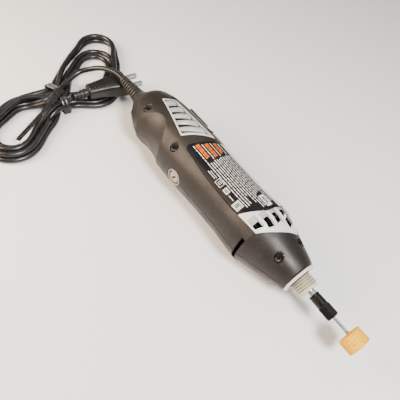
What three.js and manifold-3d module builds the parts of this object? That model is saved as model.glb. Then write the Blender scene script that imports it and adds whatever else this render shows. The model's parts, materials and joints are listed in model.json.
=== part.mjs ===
// A corded rotary hobby tool lying on its lower housing half, spindle along +X, with a grinding
// stone in its collet and its lead tied in a hank behind it. Millimetres, +Z up.
// The tool is built with x = 0 at the front end of its threaded nose and its spindle on the X
// axis, and the whole group is then shifted so that it stands on z = 0, centred on x and y.
import * as THREE from "three";
import { mergeVertices } from "three/addons/utils/BufferGeometryUtils.js";
import Module from "manifold-3d";

const wasm = await Module();
wasm.setup();

// ---- Driving dimensions -------------------------------------------------------------------
const GAP = 0.3; // clearance between pieces that touch
const WALL = 2.4; // housing wall
const ROUND = 40; // sides of the housing's round section

const THREAD_R = 9.4; // crest radius of the nose thread, 3/4 inch
const THREAD_ROOT_R = 8.5;
const THREAD_PITCH = 25.4 / 12;
const THREAD_LENGTH = 11.2;
const NOSE_X = -13.7; // front face of the housing
const NOSE_R = 15.2; // housing radius at its front face
const SHOULDER_THICK = 2.1;
const EDGE = 1.2; // length of the slope that rounds the nose's front edge
const CONE_X = -54; // where the nose cone meets the grip
const CONE_R = 28;
const REAR_X = -224; // rear face of the housing
const REAR_R = 17;

const SHAFT_R = 3.5;
const SHANK_R = 1.5875; // 1/8 inch shank
const STONE_R = 9.3;
const STONE_X = [40, 51.4];
const NUT_X = [4, 25.1];
const HEX_BACK = 13.8; // where the nut's round sleeve ends and its hexagon begins
const NUT_ACROSS_FLATS = 9.5;

const COMMUTATOR_X = -140.5; // the brushes press here
const COMMUTATOR_R = 9;
const FAN_X = -68;
const FAN_R = 23;
const STACK_X = [-127, -82]; // lamination stacks of field and armature
const ARMATURE_R = 13.8;
const FRONT_BEARING_X = [-26.5, -19.5];
const REAR_BEARING_X = [-161, -155];
const LOCK_X = -33; // shaft lock button

const CAP_R = 7.7; // brush caps
const SCREW_PLACES = [
  { x: -203, y: 14.8 },
  { x: -155, y: 19.8 },
  { x: -31, y: 11.9 },
];
const SCREW_HEAD_R = 3.1;
const SCREW_SINK = 4.2; // how far below the surface the screw heads sit

const SLIDER_ANGLE = 62; // degrees from +Z towards +Y
const SLIDER_X = [-188, -166];
const SLIDER_TRAVEL = 6;
const STEM_X = [-181, -175]; // the stem under its knob
const CLAMP_X = -213; // cord clamp

const CORD_R = 2.7;

// Outer radius of the housing along x, from its rear face to its front face.
const HOUSING_OUTLINE = [
  [REAR_X, REAR_R],
  [-220, 21],
  [-210, 24.6],
  [-196, 27],
  [-174, 28.1],
  [-150, 28.5],
  [-112, 27.6],
  [-88, 27.4],
  [-66, 28.7],
  [CONE_X - 1, 28.8],
  [CONE_X, CONE_R],
  [NOSE_X - EDGE, NOSE_R + 0.4],
  [NOSE_X, NOSE_R - 0.6],
];

// The hollow inside it: the motor chamber and the narrower switch chamber behind it.
const CAVITY_OUTLINE = [
  [REAR_X + 3, 0], [REAR_X + 3, 14], [-210, 20.2], [-186, 23.2], [-158, 24], [-156, 25.8],
  [-112, 25], [-88, 24.9], [-66, 26.2], [CONE_X - 1, 26], [NOSE_X - 2.4, 13.5], [NOSE_X - 2.4, 0],
];

// Outlines of the inlays on top of the housing, as x, y seen from above.
const LOUVRE_OUTLINE = [[-203, -0.4], [-158.7, -11.8], [-142.6, 13.2], [-197, 10.6]];
const LABEL_OUTLINE = [
  [-147.6, -12.6], [-146, -14.8], [-118, -17.2], [-75.4, -18.2],
  [-66.6, -5], [-63.4, 0.2], [-62.4, 13.6], [-137.4, 13.6],
];
const TRIM_OUTLINE = [[-137, 14.4], [-62.4, 14.4], [-61.6, 20.6], [-134.6, 20.6]];
const VENT_OUTLINE = [
  [-74.6, -18.2], [-54.6, -17.8], [-45.6, -4.2], [-36.4, 13.6],
  [-44, 20.6], [-61, 20.6], [-61.8, 13.6], [-62.7, -0.2], [-65.9, -5.4],
];
const INLAY_DEPTH = 0.8;
const INSERT_THICK = 2.1;

// ---- Making solids ------------------------------------------------------------------------
function solid(geometry) {
  const bare = new THREE.BufferGeometry();
  bare.setAttribute("position", geometry.getAttribute("position"));
  bare.setIndex(geometry.index);
  const merged = mergeVertices(bare, 1e-4);
  const triVerts = new Uint32Array(merged.index.array);
  const vertProperties = new Float32Array(merged.attributes.position.array);
  const made = new wasm.Manifold(new wasm.Mesh({ numProp: 3, vertProperties, triVerts }));
  if (made.volume() > 0) return made;
  for (let i = 0; i < triVerts.length; i += 3) {
    [triVerts[i + 1], triVerts[i + 2]] = [triVerts[i + 2], triVerts[i + 1]];
  }
  return new wasm.Manifold(new wasm.Mesh({ numProp: 3, vertProperties, triVerts }));
}

function geometryOf(made) {
  const mesh = made.getMesh();
  const geometry = new THREE.BufferGeometry();
  geometry.setAttribute("position", new THREE.BufferAttribute(mesh.vertProperties, 3));
  geometry.setIndex(new THREE.BufferAttribute(mesh.triVerts, 1));
  const flat = geometry.toNonIndexed();
  flat.computeVertexNormals();
  return flat;
}

function box(x, y, z) {
  const g = new THREE.BoxGeometry(x[1] - x[0], y[1] - y[0], z[1] - z[0]);
  g.translate((x[0] + x[1]) / 2, (y[0] + y[1]) / 2, (z[0] + z[1]) / 2);
  return solid(g);
}

// A solid of revolution about the X axis. A profile that doesn't start and end on the axis
// closes on itself.
function revolve(profile, sides = 24) {
  const points = profile.map(([x, r]) => new THREE.Vector2(r, x));
  const open = profile[0][1] > 0 || profile.at(-1)[1] > 0;
  if (open) points.push(points[0].clone());
  const g = new THREE.LatheGeometry(points, sides);
  g.rotateZ(-Math.PI / 2);
  return solid(g);
}

function disc(x, r, sides = 24) {
  return revolve([[x[0], 0], [x[0], r], [x[1], r], [x[1], 0]], sides);
}

function ring(x, inner, outer, sides = 24) {
  return revolve([[x[0], inner], [x[0], outer], [x[1], outer], [x[1], inner]], sides);
}

// A disc or ring that stands on the Z axis at x, y instead.
function upright(made, x, y) {
  return made.rotate([0, -90, 0]).translate([x, y, 0]);
}

// A disc or ring whose axis points along Y instead, at x.
function sideways(made, x) {
  return made.rotate([0, 0, 90]).translate([x, 0, 0]);
}

function prism(outline, z) {
  const shape = new THREE.Shape(outline.map(([x, y]) => new THREE.Vector2(x, y)));
  const g = new THREE.ExtrudeGeometry(shape, { depth: z[1] - z[0], bevelEnabled: false });
  g.translate(0, 0, z[0]);
  return solid(g);
}

// The outline moved inwards by d, corner by corner. Outlines run anticlockwise.
function inset(outline, d) {
  const n = outline.length;
  return outline.map((p, i) => {
    const before = outline[(i + n - 1) % n];
    const after = outline[(i + 1) % n];
    const a = new THREE.Vector2(p[0] - before[0], p[1] - before[1]).normalize();
    const b = new THREE.Vector2(after[0] - p[0], after[1] - p[1]).normalize();
    const bisector = new THREE.Vector2(-a.y - b.y, a.x + b.x);
    const reach = (2 * d) / bisector.lengthSq();
    return [p[0] + bisector.x * reach, p[1] + bisector.y * reach];
  });
}

function joined(solids) {
  return solids.reduce((all, next) => all.add(next));
}

function housingRadius(x) {
  for (let i = 1; i < HOUSING_OUTLINE.length; i++) {
    const [x1, r1] = HOUSING_OUTLINE[i];
    const [x0, r0] = HOUSING_OUTLINE[i - 1];
    if (x <= x1) return r0 + ((r1 - r0) * (x - x0)) / (x1 - x0);
  }
  return NOSE_R;
}

// The housing's outer form moved inwards by d, as a solid of revolution.
function housingForm(d, x = [REAR_X, NOSE_X]) {
  const inside = HOUSING_OUTLINE.filter(([px]) => px > x[0] && px < x[1]);
  const ends = x.map((px) => [px, housingRadius(px)]);
  const line = [ends[0], ...inside, ends[1]].map(([px, r]) => [px, r - d]);
  return revolve([[x[0], 0], ...line, [x[1], 0]], ROUND);
}

// A sheet between two depths below the housing's surface, cut out to an outline from above.
function wrapped(outline, outerDepth, innerDepth) {
  const xs = outline.map(([x]) => x);
  const x = [Math.min(...xs) - 1, Math.max(...xs) + 1];
  const sheet = housingForm(outerDepth, x).subtract(housingForm(innerDepth, [x[0] - 1, x[1] + 1]));
  return sheet.intersect(prism(outline, [1, 40]));
}

// ---- Housing ------------------------------------------------------------------------------
// Walls across the housing that carry the bearings, and the baffle behind the fan.
function bulkheads() {
  return [
    ring([FRONT_BEARING_X[0] + 1, FRONT_BEARING_X[1] - 1], 11 + GAP, 40),
    ring([REAR_BEARING_X[0] + 1, REAR_BEARING_X[1] - 1], 11.8, 40),
    ring([-74.5, -73], 16, 40),
  ];
}

function screwBosses() {
  return SCREW_PLACES.flatMap(({ x, y }) =>
    [y, -y].map((side) => upright(disc([-30, 30], 4.2, 12), x, side)),
  );
}

// The bridge that the lock button's spring pushes against, and the seat under the cord clamp.
function lowerRibs() {
  const bridge = box([LOCK_X - 4, LOCK_X + 4], [-40, 40], [-9.2, -8]);
  const pinHole = upright(disc([-10, -7], 2, 12), LOCK_X, 0);
  const seat = box([-216, -210], [-12, 12], [-40, -CORD_R - GAP]);
  const screwHole = disc([-9, 0], 1.4, 8);
  const holes = [7, -7].map((y) => upright(screwHole, CLAMP_X, y));
  return [bridge.subtract(pinHole), seat.subtract(joined(holes))];
}

function screwHoles() {
  return joined(
    SCREW_PLACES.flatMap(({ x, y }) => {
      const seat = screwSeat(x, y);
      const hole = joined([
        disc([-12, 30], 1.9, 8),
        disc([seat, 40], SCREW_HEAD_R + 0.7, 16),
      ]);
      return [y, -y].map((side) => upright(hole, x, side));
    }),
  );
}

function screwSeat(x, y) {
  return Math.sqrt(housingRadius(x) ** 2 - y ** 2) - SCREW_SINK;
}

// The oval finger rest on the right-hand seam, a shallow flatter patch.
function fingerRest() {
  const outline = new THREE.Shape().absellipse(-187, 0, 16, 20, 0, Math.PI * 2);
  const g = new THREE.ExtrudeGeometry(outline, { depth: 20, bevelEnabled: false, curveSegments: 24 });
  g.rotateX(Math.PI / 2);
  g.translate(0, -15, 0);
  const flatter = disc([-210, -160], 34, 64).translate([0, 8.5, 0]);
  return solid(g).subtract(flatter);
}

function seamVents() {
  return joined([
    box([-59.2, -55.8], [-40, -20], [-12, 15]),
    box([-59.2, -55.8], [20, 40], [-12, 15]),
  ]);
}

function brushCapHoles() {
  return sideways(disc([-40, 40], CAP_R + GAP, 24), COMMUTATOR_X);
}

function noseHole() {
  return disc([NOSE_X - 5, NOSE_X + 5], THREAD_ROOT_R + 2 * GAP, 32);
}

function gripShell() {
  const cordHole = disc([REAR_X - 5, REAR_X + 8], 8.7 + GAP);
  const inner = housingForm(1, [REAR_X + 1, NOSE_X - 1]);
  const frame = joined([...bulkheads(), ...screwBosses(), ...lowerRibs()]).intersect(inner);
  return housingForm(0)
    .subtract(revolve(CAVITY_OUTLINE, ROUND))
    .add(frame)
    .subtract(joined([fingerRest(), seamVents(), brushCapHoles(), noseHole(), cordHole, screwHoles()]));
}

// The windows and recesses for the inlays of the upper half. The lower half has the same ones,
// turned half a turn about the spindle.
function inlayCuts() {
  const windows = [
    prism(inset(LOUVRE_OUTLINE, -GAP), [20, 40]),
    prism(inset(VENT_OUTLINE, -GAP), [6, 40]),
  ];
  const recesses = [LABEL_OUTLINE, TRIM_OUTLINE].map((o) => wrapped(inset(o, -GAP), -1, INLAY_DEPTH));
  return joined([...windows, ...recesses]);
}

// The shallow track that the slider's knob runs in, and the slot for its stem.
function sliderSlot() {
  const bed = housingRadius(-176) - 2.2;
  const track = box([SLIDER_X[0] - GAP, SLIDER_X[1] + SLIDER_TRAVEL + GAP], [-5.6, 5.6], [bed, 40]);
  const slot = box([STEM_X[0] - GAP, STEM_X[1] + SLIDER_TRAVEL + GAP], [-2.3, 2.3], [18, 40]);
  return track.add(slot).rotate([-SLIDER_ANGLE, 0, 0]);
}

const shell = gripShell();

function upperHousing() {
  const half = box([-250, 10], [-40, 40], [GAP / 2, 40]);
  return shell.intersect(half).subtract(inlayCuts().add(sliderSlot()));
}

function lowerHousing() {
  const half = box([-250, 10], [-40, 40], [-40, -GAP / 2]);
  const lockHole = upright(disc([-40, -8], 5.2 + GAP, 24), LOCK_X, 0);
  return shell.intersect(half).subtract(inlayCuts().rotate([180, 0, 0]).add(lockHole));
}

// ---- Inlays -------------------------------------------------------------------------------
// The rear air inlet: a frame with slanting slats across it.
function louvre() {
  const [rearLeft, frontLeft, frontRight, rearRight] = LOUVRE_OUTLINE;
  const gapCount = 5;
  const gapWidth = 0.05; // as a share of the inlay's length
  let made = wrapped(LOUVRE_OUTLINE, 0, INSERT_THICK);
  const at = (a, b, k) => [a[0] + (b[0] - a[0]) * k, a[1] + (b[1] - a[1]) * k];
  for (let i = 0; i < gapCount; i++) {
    const left = 0.2 + i * 0.178;
    const right = left - 0.11 * (1 - left); // the rear gaps lie straighter across
    const gapOutline = [
      at(rearLeft, frontLeft, left),
      at(rearLeft, frontLeft, left + gapWidth),
      at(rearRight, frontRight, right + gapWidth),
      at(rearRight, frontRight, right),
    ];
    made = made.subtract(prism(shortened(gapOutline, 1.7), [1, 40]));
  }
  return made;
}

// The same outline with its left and right ends pulled in by d.
function shortened([a, b, c, e], d) {
  const pull = (p, q) => {
    const v = new THREE.Vector2(q[0] - p[0], q[1] - p[1]).setLength(d);
    return [p[0] + v.x, p[1] + v.y];
  };
  return [pull(a, e), pull(b, c), pull(c, b), pull(e, a)];
}

// The front air outlet: a plate with four slots, whose front ends step forwards to the left.
function frontVent() {
  const slotRear = -58.8;
  const slots = [
    { y: [-16, -11.8], front: [-57, -54.8] },
    { y: [-7.6, -3.6], front: [-52, -50] },
    { y: [0.7, 4.9], front: [-50.5, -50] },
    { y: [9.4, 16.4], front: [-43.5, -47] },
  ];
  const holes = slots.map(({ y, front }) =>
    prism([[slotRear, y[0]], [front[0], y[0]], [front[1], y[1]], [slotRear, y[1]]], [1, 40]),
  );
  return wrapped(VENT_OUTLINE, 0, INSERT_THICK).subtract(joined(holes));
}

function label() {
  return wrapped(LABEL_OUTLINE, 0.1, INLAY_DEPTH - GAP);
}

function trim() {
  return wrapped(TRIM_OUTLINE, 0, INLAY_DEPTH - GAP);
}

// ---- Fasteners and nose -------------------------------------------------------------------
function housingScrew({ x, y }, side) {
  const seat = screwSeat(x, y) + GAP;
  const head = disc([seat, seat + 2.2], SCREW_HEAD_R, 14);
  const shank = disc([-9, seat + 1], 1.5, 8);
  const cross = box([seat + 1.2, seat + 4], [-0.4, 0.4], [-1.9, 1.9]);
  const recess = cross.add(cross.rotate([90, 0, 0]));
  return upright(head.add(shank).subtract(recess), x, side * y);
}

function threadedNose() {
  const start = -THREAD_LENGTH;
  const ridges = Math.floor(THREAD_LENGTH / THREAD_PITCH);
  const outline = [[-18.6, 5.4], [-18.6, 11], [-16.5, 11], [-16.5, THREAD_ROOT_R]];
  for (let i = 0; i < ridges; i++) {
    const x = start + 0.3 + i * THREAD_PITCH;
    outline.push([x, THREAD_ROOT_R], [x + 0.9, THREAD_R], [x + 1.8, THREAD_ROOT_R]);
  }
  outline.push([-0.3, THREAD_ROOT_R], [0, THREAD_ROOT_R - 0.4], [0, 7.6], [-2.5, 6.6], [-2.5, 5.4]);
  return revolve(outline, 24);
}

function noseRing() {
  const x = [NOSE_X + GAP, NOSE_X + GAP + SHOULDER_THICK];
  return ring(x, THREAD_R + GAP, NOSE_R - 0.4, 32);
}

// ---- Spindle and what turns with it -------------------------------------------------------
function spindleShaft() {
  const body = revolve([
    [-164, 0], [-164, 2.7], [-150, 2.7], [-150, SHAFT_R], [-50, SHAFT_R], [-50, 4],
    [LOCK_X - 3.5, 4], [LOCK_X - 3.5, 6.2], [LOCK_X + 3.5, 6.2], [LOCK_X + 3.5, 3.7],
    [-17, 3.7], [-17, SHAFT_R], [19, SHAFT_R], [19, 0],
  ], 20);
  const bore = revolve([[2, 0], [2, 2.5], [17, 2.5], [20, 3.1], [20, 0]], 20);
  const lockHoles = [0, 90].map((a) =>
    upright(disc([-8, 8], 1.9, 8), LOCK_X, 0).rotate([a, 0, 0]),
  );
  return body.subtract(bore).subtract(joined(lockHoles).subtract(disc([-60, -20], 2.6)));
}

function collet() {
  const body = revolve([
    [3, 1.85], [3, 2.2], [16.9, 2.2], [19.6, 2.75], [21.5, 2.75], [23.2, 2.2], [23.2, 1.85],
  ], 20);
  const slit = box([10, 30], [-0.2, 0.2], [-5, 5]);
  return body.subtract(slit).subtract(slit.rotate([90, 0, 0]));
}

function hexPrism(x, acrossFlats) {
  const corner = acrossFlats / Math.sqrt(3);
  const g = new THREE.CylinderGeometry(corner, corner, x[1] - x[0], 6);
  g.rotateZ(-Math.PI / 2);
  g.translate((x[0] + x[1]) / 2, 0, 0);
  return solid(g);
}

function colletNut() {
  const [back, front] = NUT_X;
  const hex = hexPrism([HEX_BACK, front], NUT_ACROSS_FLATS).intersect(
    revolve([
      [back, 0], [back, 4.5], [HEX_BACK, 4.5], [HEX_BACK + 1.5, 5.6],
      [front - 1, 5.6], [front, 4.7], [front, 0],
    ], 24),
  );
  const sleeve = disc([back, HEX_BACK + 1], 4.5, 24);
  const bore = revolve([
    [back - 1, 0], [back - 1, SHAFT_R + GAP], [19.3, SHAFT_R + GAP], [21.8, 3.1],
    [23.5, 2.5], [30, 2.5], [30, 0],
  ], 20);
  return hex.add(sleeve).subtract(bore);
}

function bitShank() {
  return disc([5, STONE_X[0] + 8], SHANK_R, 16);
}

function grindingStone() {
  const [back, front] = STONE_X;
  return revolve([
    [back, SHANK_R + GAP], [back, STONE_R - 0.5], [back + 0.5, STONE_R], [front - 0.5, STONE_R],
    [front, STONE_R - 0.5], [front, 0], [STONE_X[0] + 8 + GAP, 0], [STONE_X[0] + 8 + GAP, SHANK_R + GAP],
  ], 32);
}

// ---- Motor --------------------------------------------------------------------------------
function fieldCore() {
  const yoke = ring(STACK_X, 20.8, 24.4, 28);
  const poles = box(STACK_X, [-7, 7], [-22, 22]);
  const shoeBand = ring(STACK_X, 14.4, 15.9, 28);
  const ends = box(STACK_X, [-30, 30], [9, 20]).add(box(STACK_X, [-30, 30], [-20, -9]));
  const shoes = shoeBand.intersect(ends);
  const tunnel = disc([STACK_X[0] - 1, STACK_X[1] + 1], 14.4, 28);
  return yoke.add(poles).subtract(tunnel).add(shoes);
}

function fieldCoil(side) {
  const reach = 5.5;
  const x = [STACK_X[0] - reach, STACK_X[1] + reach];
  const band = ring(x, 16.4, 20.4, 28).intersect(box(x, [-12.5, 12.5], [0, 30]));
  const hole = box([STACK_X[0] - GAP, STACK_X[1] + GAP], [-7 - GAP, 7 + GAP], [0, 30]);
  return band.subtract(hole).rotate([side > 0 ? 0 : 180, 0, 0]);
}

const SLOTS = 12;

function armatureCore() {
  let core = ring([STACK_X[0] + 1, STACK_X[1] - 1], SHAFT_R + GAP, ARMATURE_R, 24);
  for (let i = 0; i < SLOTS; i++) {
    const slot = box([-140, -70], [-1.3, 1.3], [8.4, 20]);
    core = core.subtract(slot.rotate([(i * 360) / SLOTS, 0, 0]));
  }
  return core;
}

function armatureWinding() {
  const [back, front] = STACK_X;
  const overhang = [[-0.7, 5], [-0.7, 12], [3, 12], [5, 10.4], [5, 7], [4, 5]];
  const parts = [
    revolve(overhang.map(([x, r]) => [back - x, r]).reverse(), 12),
    revolve(overhang.map(([x, r]) => [front + x, r]), 12),
  ];
  for (let i = 0; i < SLOTS; i++) {
    const bar = box([back, front], [-1, 1], [8.7, 12]);
    parts.push(bar.rotate([(i * 360) / SLOTS, 0, 0]));
  }
  return joined(parts);
}

function commutator() {
  const x = [-149, -133];
  let drum = ring(x, SHAFT_R + GAP, COMMUTATOR_R, 24);
  for (let i = 0; i < SLOTS; i++) {
    const groove = box([-150, -135], [-0.25, 0.25], [COMMUTATOR_R - 0.6, 12]);
    drum = drum.subtract(groove.rotate([((i + 0.5) * 360) / SLOTS, 0, 0]));
  }
  return drum;
}

function coolingFan() {
  const plate = ring([FAN_X, FAN_X + 1.6], SHAFT_R + GAP, FAN_R, 24);
  const hub = ring([FAN_X, FAN_X + 8], SHAFT_R + GAP, 6, 16);
  const blades = [];
  for (let i = 0; i < SLOTS; i++) {
    const blade = box([FAN_X + 1, FAN_X + 8.5], [-0.6, 0.6], [11, FAN_R - 0.5]);
    blades.push(blade.rotate([(i * 360) / SLOTS, 0, 0]));
  }
  return joined([plate, hub, ...blades]);
}

function brushHolder(side) {
  const tube = box([-4, 4], [12, 24.2], [-3, 3]).subtract(box([-3.2, 3.2], [11, 25], [-2.2, 2.2]));
  const flange = box([-5, 5], [21, 22.4], [-5, 5]).subtract(box([-3.2, 3.2], [20, 23], [-2.2, 2.2]));
  return tube.add(flange).translate([COMMUTATOR_X, 0, 0]).rotate([side > 0 ? 0 : 180, 0, 0]);
}

function carbonBrush(side) {
  const block = box([-2.9, 2.9], [COMMUTATOR_R + GAP, 17.5], [-1.9, 1.9]);
  return block.translate([COMMUTATOR_X, 0, 0]).rotate([side > 0 ? 0 : 180, 0, 0]);
}

class Helix extends THREE.Curve {
  constructor(radius, start, end, turns) {
    super();
    Object.assign(this, { radius, start, end, turns });
  }
  getPoint(t, target = new THREE.Vector3()) {
    const a = t * this.turns * Math.PI * 2;
    return target.set(
      this.radius * Math.cos(a),
      this.radius * Math.sin(a),
      this.start + (this.end - this.start) * t,
    );
  }
}

function tube(curve, radius, steps, sides) {
  const outline = new THREE.Shape();
  for (let i = 0; i < sides; i++) {
    const a = (i / sides) * Math.PI * 2;
    const move = i ? "lineTo" : "moveTo";
    outline[move](radius * Math.cos(a), radius * Math.sin(a));
  }
  outline.closePath();
  return solid(new THREE.ExtrudeGeometry(outline, { steps, extrudePath: curve, bevelEnabled: false }));
}

// A compression spring that stands on Z.
function spring(radius, wire, start, end, turns) {
  return tube(new Helix(radius, start, end, turns), wire, turns * 8, 4);
}

function brushSpring(side) {
  const made = spring(1.55, 0.3, 18.2, 24, 4);
  return made.rotate([side > 0 ? -90 : 90, 0, 0]).translate([COMMUTATOR_X, 0, 0]);
}

function brushCap(side) {
  const outer = housingRadius(COMMUTATOR_X) - 0.4;
  const head = disc([outer - 3, outer], CAP_R, 24);
  const stem = disc([24.8, outer - 2], 4.6, 12);
  const slot = box([outer - 1.2, outer + 2], [-0.7, 0.7], [-5.6, 5.6]);
  return sideways(head.add(stem).subtract(slot), COMMUTATOR_X).rotate([side > 0 ? 0 : 180, 0, 0]);
}

// ---- Bearings -----------------------------------------------------------------------------
function bearingOuter(x, outer) {
  return ring(x, outer - 2.6, outer, 24);
}

function bearingInner(x, bore, outer) {
  return ring(x, bore, outer, 20);
}

// ---- Controls -----------------------------------------------------------------------------
function speedSlider() {
  const r = housingRadius(-176);
  const knob = box(SLIDER_X, [-5.2, 5.2], [r - 1.8, r + 2]).intersect(
    disc([-200, -150], 9, 32).translate([0, 0, r - 7]),
  );
  const grooves = [];
  for (let i = 0; i < 5; i++) {
    const x = SLIDER_X[0] + 4 + i * 3.5;
    grooves.push(box([x, x + 1.2], [-4.6, 4.6], [r + 1.2, r + 6]));
  }
  const stem = box(STEM_X, [-2, 2], [8.5, r]);
  return knob.subtract(joined(grooves)).add(stem).rotate([-SLIDER_ANGLE, 0, 0]);
}

function switchModule() {
  const block = box([-194, -166], [-7.5, 7.5], [-5, 11]);
  const channel = box([STEM_X[0] - 1, STEM_X[1] + SLIDER_TRAVEL + 1], [-2.4, 2.4], [7, 20]);
  return block.subtract(channel).rotate([-SLIDER_ANGLE, 0, 0]);
}

function lockButton() {
  const surface = -housingRadius(LOCK_X);
  const parts = [
    disc([surface - 1.4, -15.6], 5.2, 24),
    disc([-16.4, -15.2], 5.9, 24),
    disc([-16, -7], 1.5, 10),
  ];
  return upright(joined(parts), LOCK_X, 0);
}

function lockSpring() {
  return spring(2.6, 0.35, -14.7, -9.7, 4).translate([LOCK_X, 0, 0]);
}

// ---- Lead ---------------------------------------------------------------------------------
const RELIEF_END = REAR_X - 43;

function strainRelief() {
  const ribs = 5;
  const pitch = 5.2;
  const outline = [
    [REAR_X + 5.6, 0], [REAR_X + 5.6, 11], [REAR_X + 3.4, 11], [REAR_X + 3.4, 8.7], [REAR_X - GAP, 8.7],
    [REAR_X - GAP, 14], [REAR_X - 3, 14.4], [REAR_X - 8, 11.6], [REAR_X - 15, 7.4],
  ];
  for (let i = 0; i < ribs; i++) {
    const x = REAR_X - 16.5 - i * pitch;
    const r = 6.9 - i * 0.4;
    outline.push([x, r], [x - 2.6, r - 0.3], [x - 3, r - 1.3]);
  }
  outline.push([RELIEF_END, 3.9], [RELIEF_END, 0]);
  return revolve(outline, 16);
}

function cordTail() {
  return disc([REAR_X + 5.9, REAR_X + 22], CORD_R, 12);
}

function cordClamp() {
  const bar = box([-216, -210], [-9.5, 9.5], [CORD_R + GAP, CORD_R + 3.4]);
  return bar.subtract(joined([7, -7].map((y) => upright(disc([0, 10], 1.5, 10), CLAMP_X, y))));
}

function clampScrew(side) {
  const head = disc([CORD_R + 3.7, CORD_R + 5.2], 2.4, 12);
  const shank = disc([-6, CORD_R + 4], 1.1, 8);
  return upright(head.add(shank), CLAMP_X, side * 7);
}

// The surface that the tool lies on, with its seam level.
const SURFACE = -Math.max(...HOUSING_OUTLINE.map(([, r]) => r));

// The free lead from the strain relief, over the plug and down to the tied hank.
const CORD_ROUTE = [
  [RELIEF_END - GAP, 0, 0], [-274, -0.4, -0.2], [-282, -1.8, -1.2], [-291, -4.8, -3.6],
  [-300, -9.8, -7.4], [-306.3, -17.8, -11.2], [-309.2, -26, -13.8], [-308, -34.8, -15.8],
  [-303.6, -43.2, -17], [-299.6, -48.8, -17.4],
];

// The hank: its high part holds the tie and the loops behind it, and the low part is the wide
// flat loop that passes under the plug.
const HANK_HIGH = [
  [-308.5, -92], [-303, -114], [-294, -130], [-281, -141], [-266, -144.5], [-251, -140],
  [-240.5, -131], [-237, -119], [-240, -106], [-249, -93.5], [-259, -82.5], [-268.5, -73],
  [-277.5, -63.5], [-277.5, -51.5], [-311.5, -51.5], [-311.5, -64], [-310.8, -78],
];
const HANK_LOW = [
  [-311, -53.5], [-329, -40], [-344, -24], [-358, -7], [-369, 10], [-373, 24], [-370.5, 34],
  [-361, 39.6], [-345, 38.2], [-329, 31.5], [-314, 23.5], [-297, 15], [-280, 5],
  [-268.5, -6], [-266, -19], [-271, -31], [-275.6, -43], [-277.6, -53.5],
];
const HANK_BOTTOM = SURFACE + 0.2;
const HANK_LOW_TOP = SURFACE + 2 * CORD_R + 0.5;
const HANK_TOP = SURFACE + 5 * CORD_R + 0.7;

function cordTube() {
  const points = CORD_ROUTE.map((p) => new THREE.Vector3(...p));
  return tube(new THREE.CatmullRomCurve3(points, false, "centripetal"), CORD_R, 16, 10);
}

function cordHank() {
  return prism(HANK_LOW, [HANK_BOTTOM, HANK_LOW_TOP]).add(prism(HANK_HIGH, [HANK_BOTTOM, HANK_TOP]));
}

// The tie's band goes over the hank's neck and down both of its sides, and its tail lies on top.
const TIE = { x: -294.5, y: -57.5, halfWidth: 3.4, halfNeck: 17, tailX: 6, tailTurn: -58 };

function hankTie() {
  const inner = TIE.halfNeck + GAP;
  const outer = inner + 1.4;
  const side = [-TIE.halfWidth, TIE.halfWidth];
  const band = box([-outer, outer], side, [HANK_BOTTOM, HANK_TOP + 1.6]).subtract(
    box([-inner, inner], [-5, 5], [HANK_BOTTOM - 1, HANK_TOP + GAP]),
  );
  const tail = box([0, 64], [-2, 2], [HANK_TOP + GAP, HANK_TOP + 1.5]);
  const placed = tail.rotate([0, 0, TIE.tailTurn]).translate([TIE.tailX, 0, 0]);
  return band.add(placed).translate([TIE.x, TIE.y, 0]);
}

const PLUG_HALF_HEIGHT = 8.2;
const PLUG = { x: -277.2, y: -11, z: HANK_LOW_TOP + GAP + PLUG_HALF_HEIGHT, turn: 86 };

function placePlug(made) {
  return made.rotate([0, 0, PLUG.turn]).translate([PLUG.x, PLUG.y, PLUG.z]);
}

// The plug points along +X before it is placed. Its outline is the same seen from above and
// from the side, but flatter from the side.
function plugBody() {
  const edge = [[-37, 3.1], [-23, 4.6], [-20.5, 7.4], [-8, 8.6], [6, 10.6], [16, 12.5], [20, 12.5]];
  const mirrored = edge.map(([x, y]) => [x, -y]);
  const above = [...mirrored, ...[...edge].reverse()];
  const beside = above.map(([x, y]) => [x, Math.sign(y) * Math.min(Math.abs(y), PLUG_HALF_HEIGHT)]);
  return placePlug(prism(above, [-20, 20]).intersect(prism(beside, [-20, 20]).rotate([90, 0, 0])));
}

function plugBlade(side) {
  const y = side * 6.35;
  return placePlug(box([20.3, 36.3], [y - 0.75, y + 0.75], [-3.2, 3.2]));
}

// ---- Assembly -----------------------------------------------------------------------------
const LOOKS = {
  grip: { color: 0x37302c, roughness: 0.55, metalness: 0 },
  silver: { color: 0xb9bcbe, roughness: 0.35, metalness: 0.4 },
  label: { color: 0x101010, roughness: 0.25, metalness: 0 },
  cream: { color: 0xe2d9c4, roughness: 0.5, metalness: 0 },
  steel: { color: 0xb7b9bc, roughness: 0.3, metalness: 1 },
  blackSteel: { color: 0x1b1b1d, roughness: 0.4, metalness: 0.8 },
  stone: { color: 0xd98d52, roughness: 0.95, metalness: 0 },
  copper: { color: 0xb4683a, roughness: 0.35, metalness: 1 },
  brass: { color: 0xb99a4c, roughness: 0.35, metalness: 1 },
  laminations: { color: 0x6d7073, roughness: 0.6, metalness: 0.8 },
  carbon: { color: 0x26262a, roughness: 0.7, metalness: 0.2 },
  fan: { color: 0xd8d8d2, roughness: 0.6, metalness: 0 },
  cap: { color: 0x6b5c55, roughness: 0.4, metalness: 0 },
  rubber: { color: 0x141414, roughness: 0.65, metalness: 0 },
  board: { color: 0x2a2c30, roughness: 0.6, metalness: 0 },
};

const assembly = new THREE.Group();

function put(name, made, look) {
  const mesh = new THREE.Mesh(geometryOf(made), new THREE.MeshStandardMaterial(LOOKS[look]));
  mesh.name = name;
  assembly.add(mesh);
}

put("upper_housing", upperHousing(), "grip");
put("lower_housing", lowerHousing(), "grip");

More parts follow.
